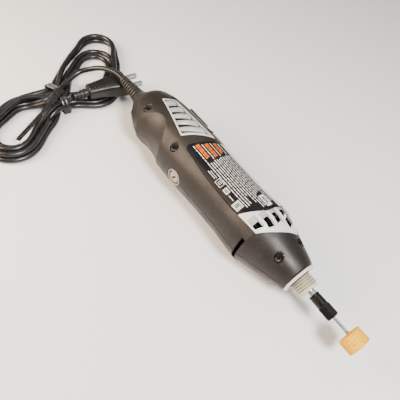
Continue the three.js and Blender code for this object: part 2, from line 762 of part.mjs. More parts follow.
const HALVES = [["upper", 0], ["lower", 180]];
for (const [half, turn] of HALVES) {
  put(half + "_louvre", louvre().rotate([turn, 0, 0]), "silver");
  put(half + "_front_vent", frontVent().rotate([turn, 0, 0]), "silver");
  put(half + "_label", label().rotate([turn, 0, 0]), "label");
  put(half + "_side_trim", trim().rotate([turn, 0, 0]), "silver");
}

SCREW_PLACES.forEach((place, i) => {
  put(`housing_screw_${i + 1}_left`, housingScrew(place, 1), "blackSteel");
  put(`housing_screw_${i + 1}_right`, housingScrew(place, -1), "blackSteel");
});

put("threaded_nose", threadedNose(), "cream");
put("nose_ring", noseRing(), "silver");

put("spindle_shaft", spindleShaft(), "steel");
put("collet", collet(), "steel");
put("collet_nut", colletNut(), "blackSteel");
put("bit_shank", bitShank(), "steel");
put("grinding_stone", grindingStone(), "stone");

put("field_core", fieldCore(), "laminations");
put("armature_core", armatureCore(), "laminations");
put("armature_winding", armatureWinding(), "copper");
put("commutator", commutator(), "copper");
put("cooling_fan", coolingFan(), "fan");

for (const [name, side] of [["left", 1], ["right", -1]]) {
  put(`brush_cap_${name}`, brushCap(side), "cap");
  put(`brush_holder_${name}`, brushHolder(side), "brass");
  put(`carbon_brush_${name}`, carbonBrush(side), "carbon");
  put(`brush_spring_${name}`, brushSpring(side), "steel");
  put(`clamp_screw_${name}`, clampScrew(side), "steel");
}
put("field_coil_upper", fieldCoil(1), "copper");
put("field_coil_lower", fieldCoil(-1), "copper");

put("front_bearing_outer", bearingOuter(FRONT_BEARING_X, 11), "steel");
put("front_bearing_inner", bearingInner(FRONT_BEARING_X, 3.7 + GAP, 8), "steel");
put("rear_bearing_outer", bearingOuter(REAR_BEARING_X, 9.5), "steel");
put("rear_bearing_inner", bearingInner(REAR_BEARING_X, 2.7 + GAP, 6.5), "steel");
put("rear_bearing_sleeve", ring(REAR_BEARING_X, 9.5 + GAP, 11.5, 24), "rubber");

put("speed_slider", speedSlider(), "rubber");
put("switch_module", switchModule(), "board");
put("lock_button", lockButton(), "rubber");
put("lock_spring", lockSpring(), "steel");

put("strain_relief", strainRelief(), "rubber");
put("cord_tail", cordTail(), "rubber");
put("cord_clamp", cordClamp(), "board");

// The frame's origin comes from the tool without its lead.
const toolBox = new THREE.Box3().setFromObject(assembly);

put("cord", cordTube(), "rubber");
put("cord_hank", cordHank(), "rubber");
put("hank_tie", hankTie(), "rubber");
put("plug_body", plugBody(), "rubber");
put("plug_blade_left", plugBlade(1), "steel");
put("plug_blade_right", plugBlade(-1), "steel");

const centre = toolBox.getCenter(new THREE.Vector3());
assembly.position.set(-centre.x, -centre.y, -toolBox.min.z);

export default assembly;
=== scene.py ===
import json
import math
import random

import bmesh
import bpy
import numpy as np
from mathutils import Matrix, Vector


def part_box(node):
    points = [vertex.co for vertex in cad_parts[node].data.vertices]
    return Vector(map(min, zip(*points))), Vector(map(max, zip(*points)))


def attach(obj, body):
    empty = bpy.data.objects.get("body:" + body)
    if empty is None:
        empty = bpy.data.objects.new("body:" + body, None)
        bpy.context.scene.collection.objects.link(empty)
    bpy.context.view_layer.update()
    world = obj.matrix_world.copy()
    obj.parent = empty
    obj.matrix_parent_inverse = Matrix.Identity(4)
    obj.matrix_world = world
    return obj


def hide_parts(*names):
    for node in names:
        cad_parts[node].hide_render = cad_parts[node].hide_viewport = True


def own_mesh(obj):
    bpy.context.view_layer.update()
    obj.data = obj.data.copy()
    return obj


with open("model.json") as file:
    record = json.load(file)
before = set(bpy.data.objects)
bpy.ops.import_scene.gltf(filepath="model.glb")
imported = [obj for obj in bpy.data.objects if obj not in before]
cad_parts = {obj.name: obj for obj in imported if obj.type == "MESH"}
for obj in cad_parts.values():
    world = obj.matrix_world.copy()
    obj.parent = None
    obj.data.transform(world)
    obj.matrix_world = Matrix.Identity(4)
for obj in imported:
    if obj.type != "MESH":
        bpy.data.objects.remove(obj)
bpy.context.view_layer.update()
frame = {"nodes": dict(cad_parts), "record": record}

# ---- Units and frame ------------------------------------------------------------------------
# Shapes are written in the tool's own millimetres: x = 0 at the front end of the threaded nose,
# the spindle on the X axis, +Z up. TOOL turns them into the row frame, in metres.
MM = 0.001
NOSE_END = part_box("threaded_nose")[1].x
SPINDLE_Z = sum(p.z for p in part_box("grinding_stone")) / 2
TOOL = Matrix.Translation((NOSE_END, 0, SPINDLE_Z)) @ Matrix.Scale(MM, 4)
SURFACE = -SPINDLE_Z / MM  # the floor, in tool millimetres


def at(x, y, z):
    return TOOL @ Vector((x, y, z))


def ends_of(node):
    """Where a CAD node begins and ends along X, in tool millimetres."""
    return [(TOOL.inverted() @ corner).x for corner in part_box(node)]


def placed(name, data):
    """A new object in the scene."""
    made = bpy.data.objects.new(name, data)
    bpy.context.scene.collection.objects.link(made)
    return made


# ---- Camera ---------------------------------------------------------------------------------
def add_camera():
    """Above the right-hand side of the tool, rolled so that the tool points down to the right."""
    data = bpy.data.cameras.new("camera")
    data.lens = 36.2
    data.sensor_width = 36
    place = Vector((0.1189, -0.1835, 0.2971))
    forward = Vector((-0.361, 0.480, -0.800)).normalized()
    right = Vector((0.602, 0.775, 0.193))
    right = (right - forward * right.dot(forward)).normalized()
    rows = zip(right, right.cross(forward), -forward, place)
    camera = placed("camera", data)
    camera.matrix_world = Matrix([*rows, (0, 0, 0, 1)])
    bpy.context.scene.camera = camera


# ---- Materials ------------------------------------------------------------------------------
class Nodes:
    """A material in the making: adds shader nodes and feeds their inputs."""

    def __init__(self, name):
        self.material = bpy.data.materials.new(name)
        self.material.use_nodes = True
        self.tree = self.material.node_tree
        self.place = self.add("ShaderNodeTexCoord").outputs["Object"]

    def feed(self, node, inputs):
        """Gives each input a value, or links it to another node's output."""
        for name, value in inputs.items():
            if isinstance(value, bpy.types.NodeSocket):
                self.tree.links.new(value, node.inputs[name])
            else:
                node.inputs[name].default_value = value

    def add(self, kind, inputs=None, **settings):
        node = self.tree.nodes.new(kind)
        for key, value in settings.items():
            setattr(node, key, value)
        self.feed(node, inputs or {})
        return node

    def noise(self, scale, detail=3.0, rough=0.55, stretch=None):
        place = self.place
        if stretch:
            mapping = self.add("ShaderNodeMapping", {"Scale": stretch, "Vector": place})
            place = mapping.outputs["Vector"]
        inputs = {"Scale": scale, "Detail": detail, "Roughness": rough, "Vector": place}
        return self.add("ShaderNodeTexNoise", inputs).outputs["Fac"]

    def ramp(self, value, stops):
        node = self.add("ShaderNodeValToRGB", {"Fac": value})
        elements = node.color_ramp.elements
        while len(elements) < len(stops):
            elements.new(0.5)
        for element, (position, colour) in zip(elements, stops):
            element.position = position
            element.color = (*colour, 1)
        return node.outputs["Color"]

    def remap(self, value, low, high):
        """The middle of a noise's range, stretched to run from low to high."""
        inputs = {"Value": value, "From Min": 0.3, "From Max": 0.7, "To Min": low, "To Max": high}
        return self.add("ShaderNodeMapRange", inputs).outputs["Result"]

    def bump(self, value, height, before=None):
        inputs = {"Height": value, "Distance": height * MM, "Strength": 1.0}
        if before is not None:
            inputs["Normal"] = before
        return self.add("ShaderNodeBump", inputs).outputs["Normal"]

    def mixed(self, share, a, b):
        inputs = {"Factor": share, "A": a, "B": b}
        return self.add("ShaderNodeMix", inputs, data_type="RGBA").outputs["Result"]

    def in_corners(self, tint, dark, reach):
        """The tint, turning to dark in corners narrower than reach: painted shade, found by ambient
        occlusion.
        """
        hollow = self.add("ShaderNodeAmbientOcclusion", {"Distance": reach * MM}, samples=6)
        share = self.ramp(hollow.outputs["AO"], [(0.4, (0, 0, 0)), (0.92, (1, 1, 1))])
        return self.mixed(share, (*dark, 1), tint)

    def rounded_edges(self, radius):
        return self.add("ShaderNodeBevel", {"Radius": radius * MM}, samples=4).outputs["Normal"]

    def finish(self, tint, rough, normal, metallic=0.0, sheen=0.5):
        inputs = {"Base Color": tint, "Roughness": rough, "Normal": normal}
        inputs |= {"Metallic": metallic, "Specular IOR Level": sheen}
        self.feed(self.tree.nodes["Principled BSDF"], inputs)
        return self.material


def scaled(colour, k):
    return tuple(min(1.0, c * k) for c in colour)


def moulded(name, colour, rough, grain=0.02, patch=0.12, dust=0.0, sheen=0.5, corner_shade=0.0):
    """Moulded plastic or rubber: fine grain, faint patches, dust, and painted shade in its corners.
    """
    n = Nodes(name)
    stops = [(0.3, scaled(colour, 1 - patch)), (0.7, scaled(colour, 1 + patch))]
    tint = n.ramp(n.noise(28, 4), stops)
    if dust:
        specks = n.ramp(n.noise(1500, 2, 0.7), [(0.66, (0, 0, 0)), (0.74, (dust, dust, dust))])
        tint = n.mixed(specks, tint, (0.5, 0.48, 0.45, 1))
    # Painted shade: the tint turns darker where ambient occlusion finds a narrow corner or groove.
    if corner_shade:
        tint = n.in_corners(tint, scaled(colour, 1 - corner_shade), 3.0)
    gloss = n.remap(n.noise(90, 3), rough - 0.06, rough + 0.08)
    normal = n.bump(n.noise(2600, 2), grain, n.rounded_edges(0.25))
    return n.finish(tint, gloss, normal, sheen=sheen)


def metal(name, colour, rough, stretch=(1, 1, 1), scratch=0.01):
    """Metal with fine machining or brushing marks stretched one way and faint stains."""
    n = Nodes(name)
    tint = n.ramp(n.noise(60, 5), [(0.3, scaled(colour, 0.9)), (0.65, colour)])
    marks = n.noise(900, 3, 0.6, stretch)
    gloss = n.remap(marks, rough - 0.07, rough + 0.1)
    return n.finish(tint, gloss, n.bump(marks, scratch, n.rounded_edges(0.2)), metallic=1.0)


def banded(name, colour, dark, rough, pitch, metallic, axis="X"):
    """Sheets or wires side by side, pitch millimetres apart along an axis."""
    n = Nodes(name)
    inputs = {"Scale": 0.314 / (pitch * MM), "Distortion": 0.4, "Vector": n.place}
    wave = n.add("ShaderNodeTexWave", inputs, bands_direction=axis).outputs["Fac"]
    tint = n.ramp(wave, [(0.1, dark), (0.6, colour)])
    return n.finish(tint, rough, n.bump(wave, pitch * 0.3), metallic)


def stone_material():
    """Bonded abrasive: packed grains, in tones from dark orange to pale yellow that vary at random.
    """
    n = Nodes("abrasive_stone")
    cells = n.add("ShaderNodeTexVoronoi", {"Scale": 2300, "Vector": n.place})
    grain = n.noise(1300, 4, 0.7)
    stops = [(0.28, (0.34, 0.11, 0.003)), (0.5, (0.70, 0.35, 0.008)), (0.72, (0.92, 0.60, 0.035))]
    normal = n.bump(cells.outputs["Distance"], 0.08, n.bump(grain, 0.16))
    return n.finish(n.ramp(grain, stops), 0.93, normal, sheen=0.1)


def cord_material(name, colour, rough):
    """Extruded sheath: paler scuffs, fine grain and a soft gloss."""
    n = Nodes(name)
    scuffs = n.noise(220, 5, 0.65)
    tint = n.ramp(scuffs, [(0.35, colour), (0.75, scaled(colour, 1.9))])
    gloss = n.remap(scuffs, rough - 0.06, rough + 0.12)
    return n.finish(tint, gloss, n.bump(n.noise(1800, 3), 0.02))


# corner_shade darkens narrow corners and grooves as painted shade (silver, slat, ramp, cream and
# cap).
LOOK = {
    "grip": moulded("grip_plastic", (0.015, 0.012, 0.0105), 0.42, 0.03, 0.3, dust=0.25, sheen=0.26),
    "hole_wall": moulded("hole_wall_plastic", (0.045, 0.036, 0.031), 0.2, 0.01, 0.1, sheen=1.0),
    # Near-black and matte: painted shade, laid in screw counterbores, cap grooves and below the
    # louvre slats.
    "painted_shade": moulded("painted_shade_black", (0.008, 0.008, 0.008), 0.6, 0.02, 0.2, sheen=0.2),
    "silver": moulded("silver_plastic", (0.56, 0.55, 0.53), 0.36, 0.012, 0.05, corner_shade=0.75),
    # The slats' faint green tint, darkened well below the frame's silver as painted shade on the
    # recessed slats.
    "slat": moulded("slat_shaded_plastic", (0.32, 0.34, 0.33), 0.3, 0.012, 0.07, sheen=0.6, corner_shade=0.9),
    # Darker than the silver plate it lies in: painted shade on the sunk ramps.
    "ramp": moulded("ramp_shade_plastic", (0.33, 0.31, 0.32), 0.4, 0.012, 0.07, corner_shade=0.6),
    "label": moulded("label_plastic", (0.004, 0.004, 0.005), 0.34, 0.004, 0.1, sheen=0.14),
    "white_ink": moulded("white_ink", (0.60, 0.60, 0.58), 0.5, 0.004, 0.08, sheen=0.2),
    "orange_ink": moulded("orange_ink", (0.46, 0.105, 0.006), 0.55, 0.004, 0.12, sheen=0.1),
    "cream": moulded("cream_plastic", (0.64, 0.56, 0.40), 0.38, 0.015, 0.08, corner_shade=0.85),
    "cap": moulded("cap_plastic", (0.33, 0.265, 0.23), 0.38, 0.01, 0.08, corner_shade=0.8),
    "rubber": moulded("relief_rubber", (0.016, 0.014, 0.013), 0.42, 0.03, 0.2, dust=0.2),
    "black": moulded("black_plastic", (0.014, 0.014, 0.015), 0.42, 0.02, 0.2),
    "board": moulded("switch_plastic", (0.03, 0.032, 0.036), 0.5, 0.02, 0.2),
    "fan": moulded("fan_plastic", (0.012, 0.012, 0.013), 0.6, 0.02, 0.1, sheen=0.2),
    "carbon": moulded("carbon", (0.02, 0.02, 0.022), 0.6, 0.04, 0.2),
    "cord": cord_material("cord_sheath", (0.0055, 0.005, 0.005), 0.3),
    "tie": cord_material("tie_plastic", (0.009, 0.008, 0.008), 0.24),
    "plug": moulded("plug_plastic", (0.008, 0.0075, 0.0075), 0.34, 0.02, 0.2, sheen=0.4),
    "steel": metal("steel", (0.60, 0.60, 0.61), 0.3, (0.15, 1, 1)),
    "bright_steel": metal("bright_steel", (0.80, 0.80, 0.81), 0.16, (0.15, 1, 1), 0.004),
    "black_steel": metal("black_steel", (0.035, 0.033, 0.032), 0.3, (0.3, 1, 1), 0.01),
    "screw": metal("screw_steel", (0.05, 0.048, 0.046), 0.5, (1, 1, 1), 0.01),
    "blade": metal("plated_blade", (0.44, 0.43, 0.41), 0.22, (1, 1, 0.2), 0.006),
    "brass": metal("brass", (0.78, 0.58, 0.26), 0.28),
    "laminations": banded("laminations", (0.42, 0.42, 0.43), (0.16, 0.16, 0.17), 0.5, 0.8, 0.9),
    "windings": banded("windings", (0.62, 0.24, 0.09), (0.25, 0.07, 0.02), 0.35, 0.7, 0.8, "Y"),
    "commutator": metal("commutator_copper", (0.72, 0.36, 0.2), 0.3, (1, 0.2, 0.2)),
    "stone": stone_material(),
}


# ---- Making meshes --------------------------------------------------------------------------
ON_AXIS = 1e-6  # a radius below this lies on the axis


def mesh_of(name, bm):
    """A bmesh as a mesh. The bmesh is used up."""
    mesh = bpy.data.meshes.new(name)
    bm.to_mesh(mesh)
    bm.free()
    return mesh


def combined(operation, base, tool):
    """base cut by, joined to or limited to tool, both bmeshes in tool millimetres."""
    operands = []
    for bm in (base, tool):
        bm.normal_update()
        operands.append(placed("operand", mesh_of("operand", bm)))
    modifier = operands[0].modifiers.new("boolean", "BOOLEAN")
    modifier.operation = operation
    modifier.solver = "EXACT"
    modifier.object = operands[1]
    evaluated = operands[0].evaluated_get(bpy.context.evaluated_depsgraph_get())
    result = bmesh.new()
    result.from_mesh(evaluated.to_mesh())
    evaluated.to_mesh_clear()
    for made in operands:
        mesh = made.data
        bpy.data.objects.remove(made)
        bpy.data.meshes.remove(mesh)
    return result


def cut(base, *tools):
    return combined("DIFFERENCE", base, merged(*tools))


def within(base, tool):
    return combined("INTERSECT", base, tool)


def merged(*parts):
    """Several bmeshes as one, without joining their surfaces."""
    result = bmesh.new()
    for part in parts:
        mesh = mesh_of("part", part)
        result.from_mesh(mesh)
        bpy.data.meshes.remove(mesh)
    return result


def moved(bm, *matrices):
    for matrix in matrices:
        bm.transform(matrix)
    return bm


def turned(degrees, axis):
    return Matrix.Rotation(math.radians(degrees), 4, axis)


def shifted(x, y, z):
    return Matrix.Translation((x, y, z))


def piece(name, bm, look, body, *nodes, crease=32, slot=None):
    """Turns a bmesh in tool millimetres into a finished piece that rides on a body."""
    bm.transform(TOOL)
    bmesh.ops.remove_doubles(bm, verts=bm.verts, dist=2e-6)
    bm.normal_update()
    for face in bm.faces:
        face.smooth = True
    limit = math.radians(crease)
    for edge in bm.edges:
        edge.smooth = len(edge.link_faces) == 2 and edge.calc_face_angle(0) < limit
    made = placed(name, mesh_of(name, bm))
    made.data.materials.append(LOOK[look])
    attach(made, body)
    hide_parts(*nodes)
    return made


def loft(sections, ends=True):
    """A skin over sections, each a closed list of points with the same length."""
    bm = bmesh.new()
    rings = [[bm.verts.new(p) for p in section] for section in sections]
    n = len(sections[0])
    for a, b in zip(rings, rings[1:]):
        for i in range(n):
            j = (i + 1) % n
            bm.faces.new((a[i], a[j], b[j], b[i]))
    if ends:
        bm.faces.new(list(reversed(rings[0])))
        bm.faces.new(rings[-1])
    bmesh.ops.recalc_face_normals(bm, faces=bm.faces)
    return bm


def rounded_corner(a, b, c, radius, steps):
    """Points that round the corner at b on the way from a to c."""
    reach = min(radius, (a - b).length * 0.45, (c - b).length * 0.45)
    start = b + (a - b).normalized() * reach
    end = b + (c - b).normalized() * reach
    shares = [i / steps for i in range(steps + 1)]
    return [tuple(start * (1 - t) ** 2 + b * 2 * t * (1 - t) + end * t**2) for t in shares]


def soft(profile, radius=0.3, steps=3):
    """The profile with every corner but its two ends rounded."""
    points = [Vector(p) for p in profile]
    made = [tuple(points[0])]
    for a, b, c in zip(points, points[1:], points[2:]):
        made += rounded_corner(a, b, c, radius, steps)
    return [*made, tuple(points[-1])]


def round_corners(outline, radius, steps=4):
    """A closed outline with all its corners rounded."""
    points = [Vector(p) for p in outline]
    made = []
    for a, b, c in zip(points[-1:] + points, points, points[1:] + points[:1]):
        made += rounded_corner(a, b, c, radius, steps)
    return made


def ring(x, r, sides, start=0.0):
    """Points on a circle about X."""
    turns = [start + 2 * math.pi * i / sides for i in range(sides)]
    return [(x, r * math.sin(a), r * math.cos(a)) for a in turns]


def revolve(profile, sides=64):
    """A solid of revolution about X. A profile off the axis closes on itself."""
    bm = bmesh.new()
    columns = []
    for x, r in profile:
        if r < ON_AXIS:
            columns.append([bm.verts.new((x, 0, 0))] * sides)
        else:
            columns.append([bm.verts.new(p) for p in ring(x, r, sides)])
    pairs = list(zip(columns, columns[1:]))
    if max(profile[0][1], profile[-1][1]) >= ON_AXIS:
        pairs.append((columns[-1], columns[0]))
    for a, b in pairs:
        for i in range(sides):
            j = (i + 1) % sides
            corners = list(dict.fromkeys((a[i], a[j], b[j], b[i])))
            if len(corners) > 2:
                bm.faces.new(corners)
    bmesh.ops.recalc_face_normals(bm, faces=bm.faces)
    return bm


def disc(x, r, sides=48):
    return revolve([(x[0], 0), (x[0], r), (x[1], r), (x[1], 0)], sides)


def tube(x, r, sides):
    return revolve([(x[0], r[0]), (x[1], r[0]), (x[1], r[1]), (x[0], r[1])], sides)


def box(x, y, z):
    bm = bmesh.new()
    bmesh.ops.create_cube(bm, size=1)
    size = [b - a for a, b in (x, y, z)]
    middle = [(a + b) / 2 for a, b in (x, y, z)]
    return moved(bm, Matrix.Diagonal((*size, 1)), shifted(*middle))


def cross(x, half, wide):
    """Two slots across each other: x from and to, their half length and half width."""
    slot = (-wide, wide)
    arms = [box(x, arm, slot) for arm in ((-half, -wide), (wide, half))]
    return merged(box(x, slot, (-half, half)), *arms)


def prism(outline, z):
    return loft([[(x, y, level) for x, y in outline] for level in z])


def upright(bm, x, y):
    """Something that lies along X, stood up along +Z at x, y."""
    return moved(bm, turned(-90, "Y"), shifted(x, y, 0))


def sideways(bm, x, side):
    """Something that lies along X, pointing to +Y (side 1) or -Y (side -1) at x."""
    return moved(bm, turned(90 * side, "Z"), shifted(x, 0, 0))


def inset(outline, d):
    """The outline moved inwards by d. Outlines run anticlockwise."""
    points = [Vector(p) for p in outline]
    made = []
    for before, here, after in zip(points[-1:] + points, points, points[1:] + points[:1]):
        a = (here - before).normalized()
        b = (after - here).normalized()
        bisector = Vector((-a.y - b.y, a.x + b.x))
        made.append(tuple(here + bisector * (2 * d / bisector.length_squared)))
    return made


# ---- The housing's form ---------------------------------------------------------------------
WALL = 2.4
REAR_WALL = 4.4  # behind the finger rests, up to REST_END
REST_END = -157
SEAM = 0.15  # half the gap between the halves
GRIP_OUTLINE = [
    (-224, 17), (-222.6, 19.4), (-220, 21.3), (-210, 24.8), (-196, 27.05), (-174, 28.1),
    (-150, 28.5), (-112, 27.6), (-88, 27.4), (-66, 28.65), (-55.4, 28.8),
]
CONE_OUTLINE = [
    (-54.2, 28), (-45, 25.25), (-30, 20.5), (-14.9, 15.6), (-14.1, 15.2), (-13.7, 14.6),
]


def smooth_rows(points, step):
    """Rows along a curve through points, by cubic steps that don't overshoot."""
    x, r = np.array(points, float).T
    slope = np.diff(r) / np.diff(x)
    m = np.concatenate([[slope[0]], (slope[:-1] + slope[1:]) / 2, [slope[-1]]])
    m[1:-1][slope[:-1] * slope[1:] <= 0] = 0
    rows = []
    for i, length in enumerate(np.diff(x)):
        n = max(1, round(length / step))
        for t in np.arange(n) / n:
            value = (
                (2 * t**3 - 3 * t**2 + 1) * r[i]
                + (t**3 - 2 * t**2 + t) * length * m[i]
                + (-2 * t**3 + 3 * t**2) * r[i + 1]
                + (t**3 - t**2) * length * m[i + 1]
            )
            rows.append((float(x[i] + t * length), float(value)))
    return [*rows, tuple(points[-1])]


OUTER = smooth_rows(GRIP_OUTLINE, 2.2) + smooth_rows(CONE_OUTLINE, 2.2)
OUTER_X, OUTER_R = zip(*OUTER)


def outer_radius(x):
    return float(np.interp(x, OUTER_X, OUTER_R))


def surface_point(x, y, lift=0.0):
    r = outer_radius(x) + lift
    return (x, y, math.sqrt(max(r * r - y * y, 0.01)))


def span(outline, margin):
    xs = [p[0] for p in outline]
    return min(xs) - margin, max(xs) + margin


def form(depth, x):
    """The housing's outer form between two x, moved inwards by depth, as a solid."""
    inside = [p for p in OUTER if x[0] < p[0] < x[1]]
    ends = [(px, outer_radius(px)) for px in x]
    line = [(px, r - depth) for px, r in [ends[0], *inside, ends[1]]]
    return revolve([(x[0], 0), *line, (x[1], 0)], 144)


def wrapped(outline, outer, inner):
    """A sheet between two depths below the housing's surface, cut to an outline from above."""
    sheet = within(form(outer, span(outline, 1)), prism(outline, (1, 40)))
    return cut(sheet, form(inner, span(outline, 2)))


def half_shell(half):
    """One half of the housing as a closed shell. half is 1 for the upper and -1 for the lower."""
    inner = [(x, r - (REAR_WALL if x < REST_END else WALL)) for x, r in OUTER if -219 < x < -17]
    loop = [(-224, 9), *OUTER, (-13.7, 9.1), (-17, 9.1), *reversed(inner), (-221, 9)]
    # Degrees from the seam, and how far the surface dips there to round the seam's edge.
    near = [(0.0, 0.34), (0.25, 0.14), (0.7, 0.03), (1.3, 0)]
    middle = [(3 + 174 * i / 86, 0) for i in range(87)]
    sections = []
    for angle, dip in near + middle + [(180 - a, d) for a, d in reversed(near)]:
        section = []
        for i, (x, r) in enumerate(loop):
            r -= dip if 1 <= i <= len(OUTER) else 0
            start = math.asin(SEAM / r)
            turn = start + math.radians(angle) * (math.pi - 2 * start) / math.pi
            section.append((x, half * r * math.cos(turn), half * r * math.sin(turn)))
        sections.append(section)
    return loft(sections)


# Outlines seen from above, and places of screws and caps.
LOUVRE = [(-203, -0.4), (-158.7, -11.8), (-142.6, 13.2), (-197, 10.6)]
LABEL = [
    (-147.6, -12.6), (-146, -14.8), (-118, -17.2), (-75.4, -18.2),
    (-66.6, -5), (-63.4, 0.2), (-62.4, 13.6), (-137.4, 13.6),
]
TRIM = [(-137, 14.4), (-62.4, 14.4), (-61.6, 20.6), (-134.6, 20.6)]
VENT = [
    (-74.6, -18.2), (-54.6, -17.8), (-45.6, -4.2), (-36.4, 13.6),
    (-44, 20.6), (-61, 20.6), (-61.8, 13.6), (-62.7, -0.2), (-65.9, -5.4),
]
SCREWS = [(-203, 14.8), (-155, 19.8), (-31, 11.9)]
SCREW_SINK = 4.2
HOLE_R = 3.8
CAP_X = -140.5
CAP_R = 7.7
CAP_TURN = 35
SIDES = ((1, "left"), (-1, "right"))
SLIDER_X, SLIDER_TURN = -176, -62
LOCK_X = -33
GAP = 0.3  # between a part and its recess


def screw_seat(x, y):
    return math.sqrt(outer_radius(x) ** 2 - y * y) - SCREW_SINK


def screw_lining(x, y, z, r):
    """A ring in a screw's counterbore, which ends below the housing's surface."""
    return within(upright(tube(z, r, 40), x, y), form(0.35, (x - 9, x + 9)))


def finger_rest_cutter():
    """What to take off for a finger on the right: most at the seam and in the middle."""
    places = np.linspace(-214, -161, 28)
    floor = [(x, 31.6 + 3.3 * ((x + 187.5) / 18.5) ** 2) for x in places]
    keep = revolve([(places[0], 0), *floor, (places[-1], 0)], 256)
    return cut(box((-213, -162), (-40, -2), (-30, 30)), moved(keep, shifted(0, 7.75, 0)))


def rear_facet_cutters(half):
    """Slabs that leave a flat on each side of the rear end."""
    cutters = []
    for side in (1, -1):
        outward = Vector((-0.401, side * 0.849, half * 0.345))
        turn = outward.to_track_quat("Z", "Y").to_matrix().to_4x4()
        slab = box((-30, 30), (-30, 30), (0, 20))
        cutters.append(moved(slab, turn, shifted(-213.1, side * 16.8, half * 16.4)))
    return cutters


def slider_cutters():
    bed = outer_radius(SLIDER_X) - 2.2
    track = box((-188.3, -159.7), (-5.6, 5.6), (bed, 40))
    slot = box((-181.3, -168.7), (-2.3, 2.3), (18, bed + 1))
    return [moved(part, turned(SLIDER_TURN, "X")) for part in (track, slot)]


def recess_cutter(outline, depth):
    return cut(prism(outline, (5, 40)), form(depth, span(outline, 2)))


def make_half(half):
    name = "upper" if half > 0 else "lower"
    flip = turned(0 if half > 0 else 180, "X")
    windows = [
        prism(round_corners(inset(LOUVRE, -GAP), 1.6), (17, 40)),
        prism(round_corners(inset(VENT, -GAP), 1.2), (6, 40)),
        recess_cutter(round_corners(inset(LABEL, -GAP), 1.6), 0.8),
        recess_cutter(round_corners(inset(TRIM, -GAP), 1.2), 0.8),
    ]
    holes, walls, seat_shades = [], [], []
    for x, y in [(x, side) for x, y in SCREWS for side in (y, -y)]:
        seat = screw_seat(x, y)
        top = seat + SCREW_SINK
        holes.append(upright(disc((top - 9, top + 12), HOLE_R, 40), x, y))
        lining = (HOLE_R - 0.15, HOLE_R - 0.01)
        walls.append(screw_lining(x, y, (seat + 0.02, seat + 14.02), lining))
        # A near-black ring at each seat, around the screw's head: painted shade in the counterbore.
        seat_shades.append(screw_lining(x, y, (seat - 1, seat), (1.9, HOLE_R + 1)))
    for part in windows + holes + walls + seat_shades:
        moved(part, flip)
    seam = [sideways(disc((15, 40), CAP_R + GAP, 64), CAP_X, side) for side in (1, -1)]
    seam += [box((-59.2, -55.8), y, (-12, 15)) for y in ((20, 40), (-40, -20))]
    stages = [windows, holes, seam, [finger_rest_cutter()]]
    stages += [[facet] for facet in rear_facet_cutters(half)]
    if half > 0:
        stages += [[part] for part in slider_cutters()]
    else:
        stages.append([upright(disc((-40, -8), 5.5), LOCK_X, 0)])
    shell = half_shell(half)
    for cutters in stages:
        shell = cut(shell, *cutters)
    parts = [
        ("housing_shell", shell, "grip"),
        ("screw_holes", merged(*walls), "hole_wall"),
        ("screw_seat_shade", merged(*seat_shades), "painted_shade"),
    ]
    for part, bm, look in parts:
        piece(f"{name}_{part}", bm, look, "tool", f"{name}_housing", slot="grip_plastic")


# ---- Inlays ---------------------------------------------------------------------------------
INSERT_THICK = 2.1


def both_halves(name, bm, look, node, slot, **options):
    """Puts an inlay on the upper half, and turned half a turn on the lower one."""
    lower = moved(bm.copy(), turned(180, "X"))
    for half, part in (("upper", bm), ("lower", lower)):
        piece(f"{half}_{name}", part, look, "tool", f"{half}_{node}", slot=slot, **options)


def between(a, b, k):
    return (a[0] + (b[0] - a[0]) * k, a[1] + (b[1] - a[1]) * k)


def slat(left, right, width, height):
    """A slat with a rounded back that follows the surface from its left to its right end."""
    sections = []
    along = Vector((right[0] - left[0], right[1] - left[1], 0)).normalized()
    across = Vector((along.y, -along.x, 0))
    for k in np.linspace(0, 1, 15):
        x, y = between(left, right, k)
        normal = (Vector(surface_point(x, y)) - Vector((x, 0, 0))).normalized()
        middle = Vector(surface_point(x, y, -2.3))
        half = (width[0] + (width[1] - width[0]) * k) / 2
        section = []
        for _, s, c in ring(0, 1, 20):
            rise = height * s if s > 0 else 0.4 * height * s
            section.append(middle + across * (half * c) + normal * rise)
        sections.append(section)
    return loft(sections)


def louvre_share(k):
    """The share of the right edge that lies across from a share of the left edge."""
    return k - 0.11 * (1 - k)


def make_louvres():
    outline = round_corners(LOUVRE, 1.2)
    rear_left, front_left, front_right, rear_right = inset(LOUVRE, 1.25)
    front = [between(rear_left, front_left, 0.98), between(rear_right, front_right, 0.98)]
    opening = [rear_left, *front, rear_right]
    rim = wrapped(outline, -0.25, INSERT_THICK + 0.6)
    rim = cut(rim, prism(round_corners(opening, 0.5), (1, 40)))
    edges = [0.0] + [0.225 + 0.178 * i for i in range(5)]
    slats = []
    for low, high in zip(edges, edges[1:]):
        k = (low + high) / 2 - 0.01
        left = between(rear_left, front_left, k)
        right = between(rear_right, front_right, louvre_share(k))
        wide_left = 44 * (high - low) * 0.64
        wide_right = 46 * (louvre_share(high) - louvre_share(low)) * 0.68
        slats.append(slat(left, right, (wide_left, wide_right), 1.9))
    bars = within(merged(*slats), prism(inset(opening, -0.4), (1, 40)))
    both_halves("louvre_frame", rim, "silver", "louvre", "silver_plastic")
    both_halves("louvre_slats", bars, "slat", "louvre", "silver_plastic", crease=50)
    # A near-black sheet below the slats: painted shade in place of the dark inside of the housing.
    both_halves("louvre_shade_sheet", wrapped(outline, 3.4, 4.0), "painted_shade", "louvre", "black_plastic")


